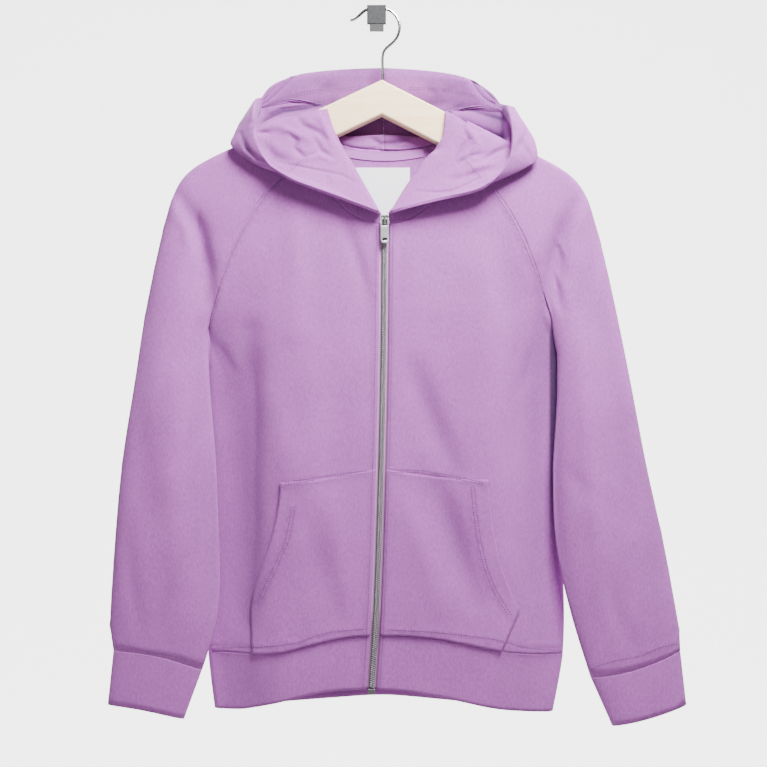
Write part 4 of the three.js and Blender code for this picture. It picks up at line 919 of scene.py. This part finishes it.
def stitch_shape(at, along, out, verts, faces):
    """One stitch: a short rounded thread lying on the cloth, its ends sunk in."""
    long, thick = STITCH["long"] * MM, STITCH["thick"] * MM
    side = along.cross(out).normalized()
    base = len(verts)
    for ring in STITCH_RINGS:
        middle = at + along * (ring["along"] * long) - out * (thick * ring["sunk"])
        for turn in range(4):
            angle = math.pi / 4 + turn * math.pi / 2
            spoke = side * math.cos(angle) + out * math.sin(angle)
            verts.append(middle + spoke * (thick * ring["size"]))
    for ring in range(len(STITCH_RINGS) - 1):
        for turn in range(4):
            a = base + 4 * ring + turn
            b = base + 4 * ring + (turn + 1) % 4
            faces.append((a, b, b + 4, a + 4))
    faces.append(tuple(base + k for k in (3, 2, 1, 0)))
    last = base + 4 * (len(STITCH_RINGS) - 1)
    faces.append(tuple(last + k for k in (0, 1, 2, 3)))


def first_hit(trees, start, way):
    """Place and normal of the first cloth on a ray, or None."""
    found = [t.ray_cast(start, way) for t in trees]
    found = [f for f in found if f[0] is not None]
    return min(found, key=lambda f: f[3])[:2] if found else None


def sew(name, lines, trees, look_along):
    """Rows of stitches laid on the first cloth that each line meets."""
    verts, faces = [], []
    for line in lines:
        ways = [look_along(x, z) for x, z in spaced(line, STITCH["pitch"])]
        hits = [first_hit(trees, start, way) for start, way in ways]
        to_viewer = -ways[-1][1]
        for before, here, after in zip(hits, hits[1:], hits[2:]):
            if not (before and here and after):
                continue
            along = after[0] - before[0]
            if along.length > STITCH_SKIP * STITCH["pitch"] * MM:
                continue
            out = here[1] if here[1].dot(to_viewer) > 0 else -here[1]
            along = (along - out * along.dot(out)).normalized()
            stitch_shape(here[0], along, out, verts, faces)
    return made_of(name, verts, faces)


def made_of(name, verts, faces):
    mesh = bpy.data.meshes.new(name)
    mesh.from_pydata([tuple(v) for v in verts], [], faces)
    obj = bpy.data.objects.new(name, mesh)
    bpy.context.collection.objects.link(obj)
    return obj


def tree_of(obj):
    mesh = obj.data
    return BVHTree.FromPolygons([v.co[:] for v in mesh.vertices], [p.vertices[:] for p in mesh.polygons])


def make_sewing(made):
    thread = woven("thread", (0.10, 0.035, 0.11), 2500.0)
    trees = [tree_of(o) for o in made.values()]
    hoods = [tree_of(made[n]) for n in ("hood_left", "hood_right")]
    for name, lines, on, look in (
        ("front_stitches", front_stitching(), trees, seen_from_camera),
        ("back_stitches", back_stitching(), trees, seen_from_back),
        ("hood_stitches", hood_stitching(), hoods, seen_from_camera),
    ):
        finish_piece(sew(name, lines, on, look), thread, "cloth", "hoodie")


# Zip
TOOTH = {
    "pitch": 2.54, "wide": 3.1, "tall": 1.1, "deep": 2.0, "rise": 0.9, "offset": 1.35,
    "tip": 0.7, "face": 0.8, "round": 0.18,
}


def make_teeth():
    """Two rows of metal teeth, half a pitch apart, that mesh in the middle."""
    tree = tree_of(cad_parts["zip_chain"])
    verts, faces = [], []
    low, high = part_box("zip_chain")
    count = int((high[2] - low[2]) / MM / TOOTH["pitch"])
    for side, first in ((-1, 0.25), (1, 0.75)):
        for k in range(count):
            z = high[2] / MM - TOOTH["pitch"] * (k + first)
            middle = float(at_height(z, ZIP_LINE))
            hit = tree.ray_cast(Vector((middle, AHEAD_Y, z)) * MM, Vector((0, 1, 0)))
            if hit[0] is not None:
                tooth_shape(hit[0], side, verts, faces)
    obj = made_of("zip_teeth", verts, faces)
    obj.modifiers.new("rounded", "BEVEL").width = TOOTH["round"] * MM
    apply_modifiers(obj)
    finish_piece(obj, metal("tooth_metal", (0.50, 0.49, 0.52), 0.40), "zip_metal", "hoodie")


def tooth_shape(at, side, verts, faces):
    """One tooth: narrower at its tip and its face than at its root."""
    half = TOOTH["wide"] / 2
    inner, outer = TOOTH["offset"] - half, TOOTH["offset"] + half
    tall = TOOTH["tall"] / 2
    tip = tall * TOOTH["tip"]
    base = len(verts)
    for depth, grow in ((-TOOTH["rise"], TOOTH["face"]), (TOOTH["deep"] - TOOTH["rise"], 1.0)):
        for x, z in ((inner, -tip), (outer, -tall), (outer, tall), (inner, tip)):
            verts.append(at + Vector((side * x * grow, depth, z * grow)) * MM)
    quads = ((0, 1, 2, 3), (7, 6, 5, 4), (0, 4, 5, 1), (1, 5, 6, 2), (2, 6, 7, 3), (3, 7, 4, 0))
    for quad in quads:
        order = quad if side > 0 else quad[::-1]
        faces.append(tuple(base + k for k in order))


def bevelled_copy(node, width):
    obj = smooth_copy(node, 0)
    edge = obj.modifiers.new("rounded", "BEVEL")
    edge.width = width * MM
    edge.segments = 2
    edge.limit_method = "ANGLE"
    edge.angle_limit = math.radians(30)
    edge.harden_normals = True
    apply_modifiers(obj)
    return obj


def dress(node, material):
    """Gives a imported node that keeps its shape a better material."""
    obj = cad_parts[node]
    obj.data.materials.clear()
    obj.data.materials.append(material)


def make_zip():
    make_teeth()
    steel = metal("slider_metal", (0.26, 0.26, 0.27), 0.34)
    silver = metal("pull_metal", (0.95, 0.95, 0.96), 0.30)
    for node, look, body in (
        ("zip_slider", steel, "hoodie"), ("zip_loop", steel, "hoodie"),
        ("zip_box", steel, "hoodie"), ("zip_pull", silver, "pull"),
    ):
        piece = bevelled_copy(node, 0.35)
        finish_piece(piece, look, "zip_metal", body, node)
        shade_flat(piece)
    tape = woven("zip_tape_weave", (0.62, 0.30, 0.58))
    # The cord is near black: its own dark tone plus painted shade in the gaps between the teeth.
    cord_and_gap_shade = woven("zip_cord_and_gap_shade", (0.010, 0.008, 0.012))
    for node in ("zip_tape_left", "zip_tape_right"):
        dress(node, tape)
    dress("zip_chain", cord_and_gap_shade)


# Neck tape, label, hanger and hook
def make_trims():
    dress("neck_tape", woven("neck_tape_weave", shade(LILAC, 1.05)))
    dress("neck_label", woven("label_weave", (0.93, 0.92, 0.96), 1500.0, 0.5))


def make_hanger():
    wood = bevelled_copy("hanger_wood", 0.8)
    finish_piece(wood, maple("maple"), "wood", "hoodie", "hanger_wood")
    chrome = metal("chrome_wire", (0.86, 0.86, 0.88), 0.10, 0.05)
    finish_piece(smooth_copy("hanger_hook", 2), chrome, "wire", "hoodie", "hanger_hook")
    hook = bevelled_copy("wall_hook", 0.3)
    finish_piece(hook, speckled("speckled_paint"), "hook", "hoodie", "wall_hook")
    for piece in (wood, hook):
        shade_flat(piece)


make_camera()
make_stage()
cloth = make_cloth()
make_sewing(cloth)
make_zip()
make_trims()
make_hanger()
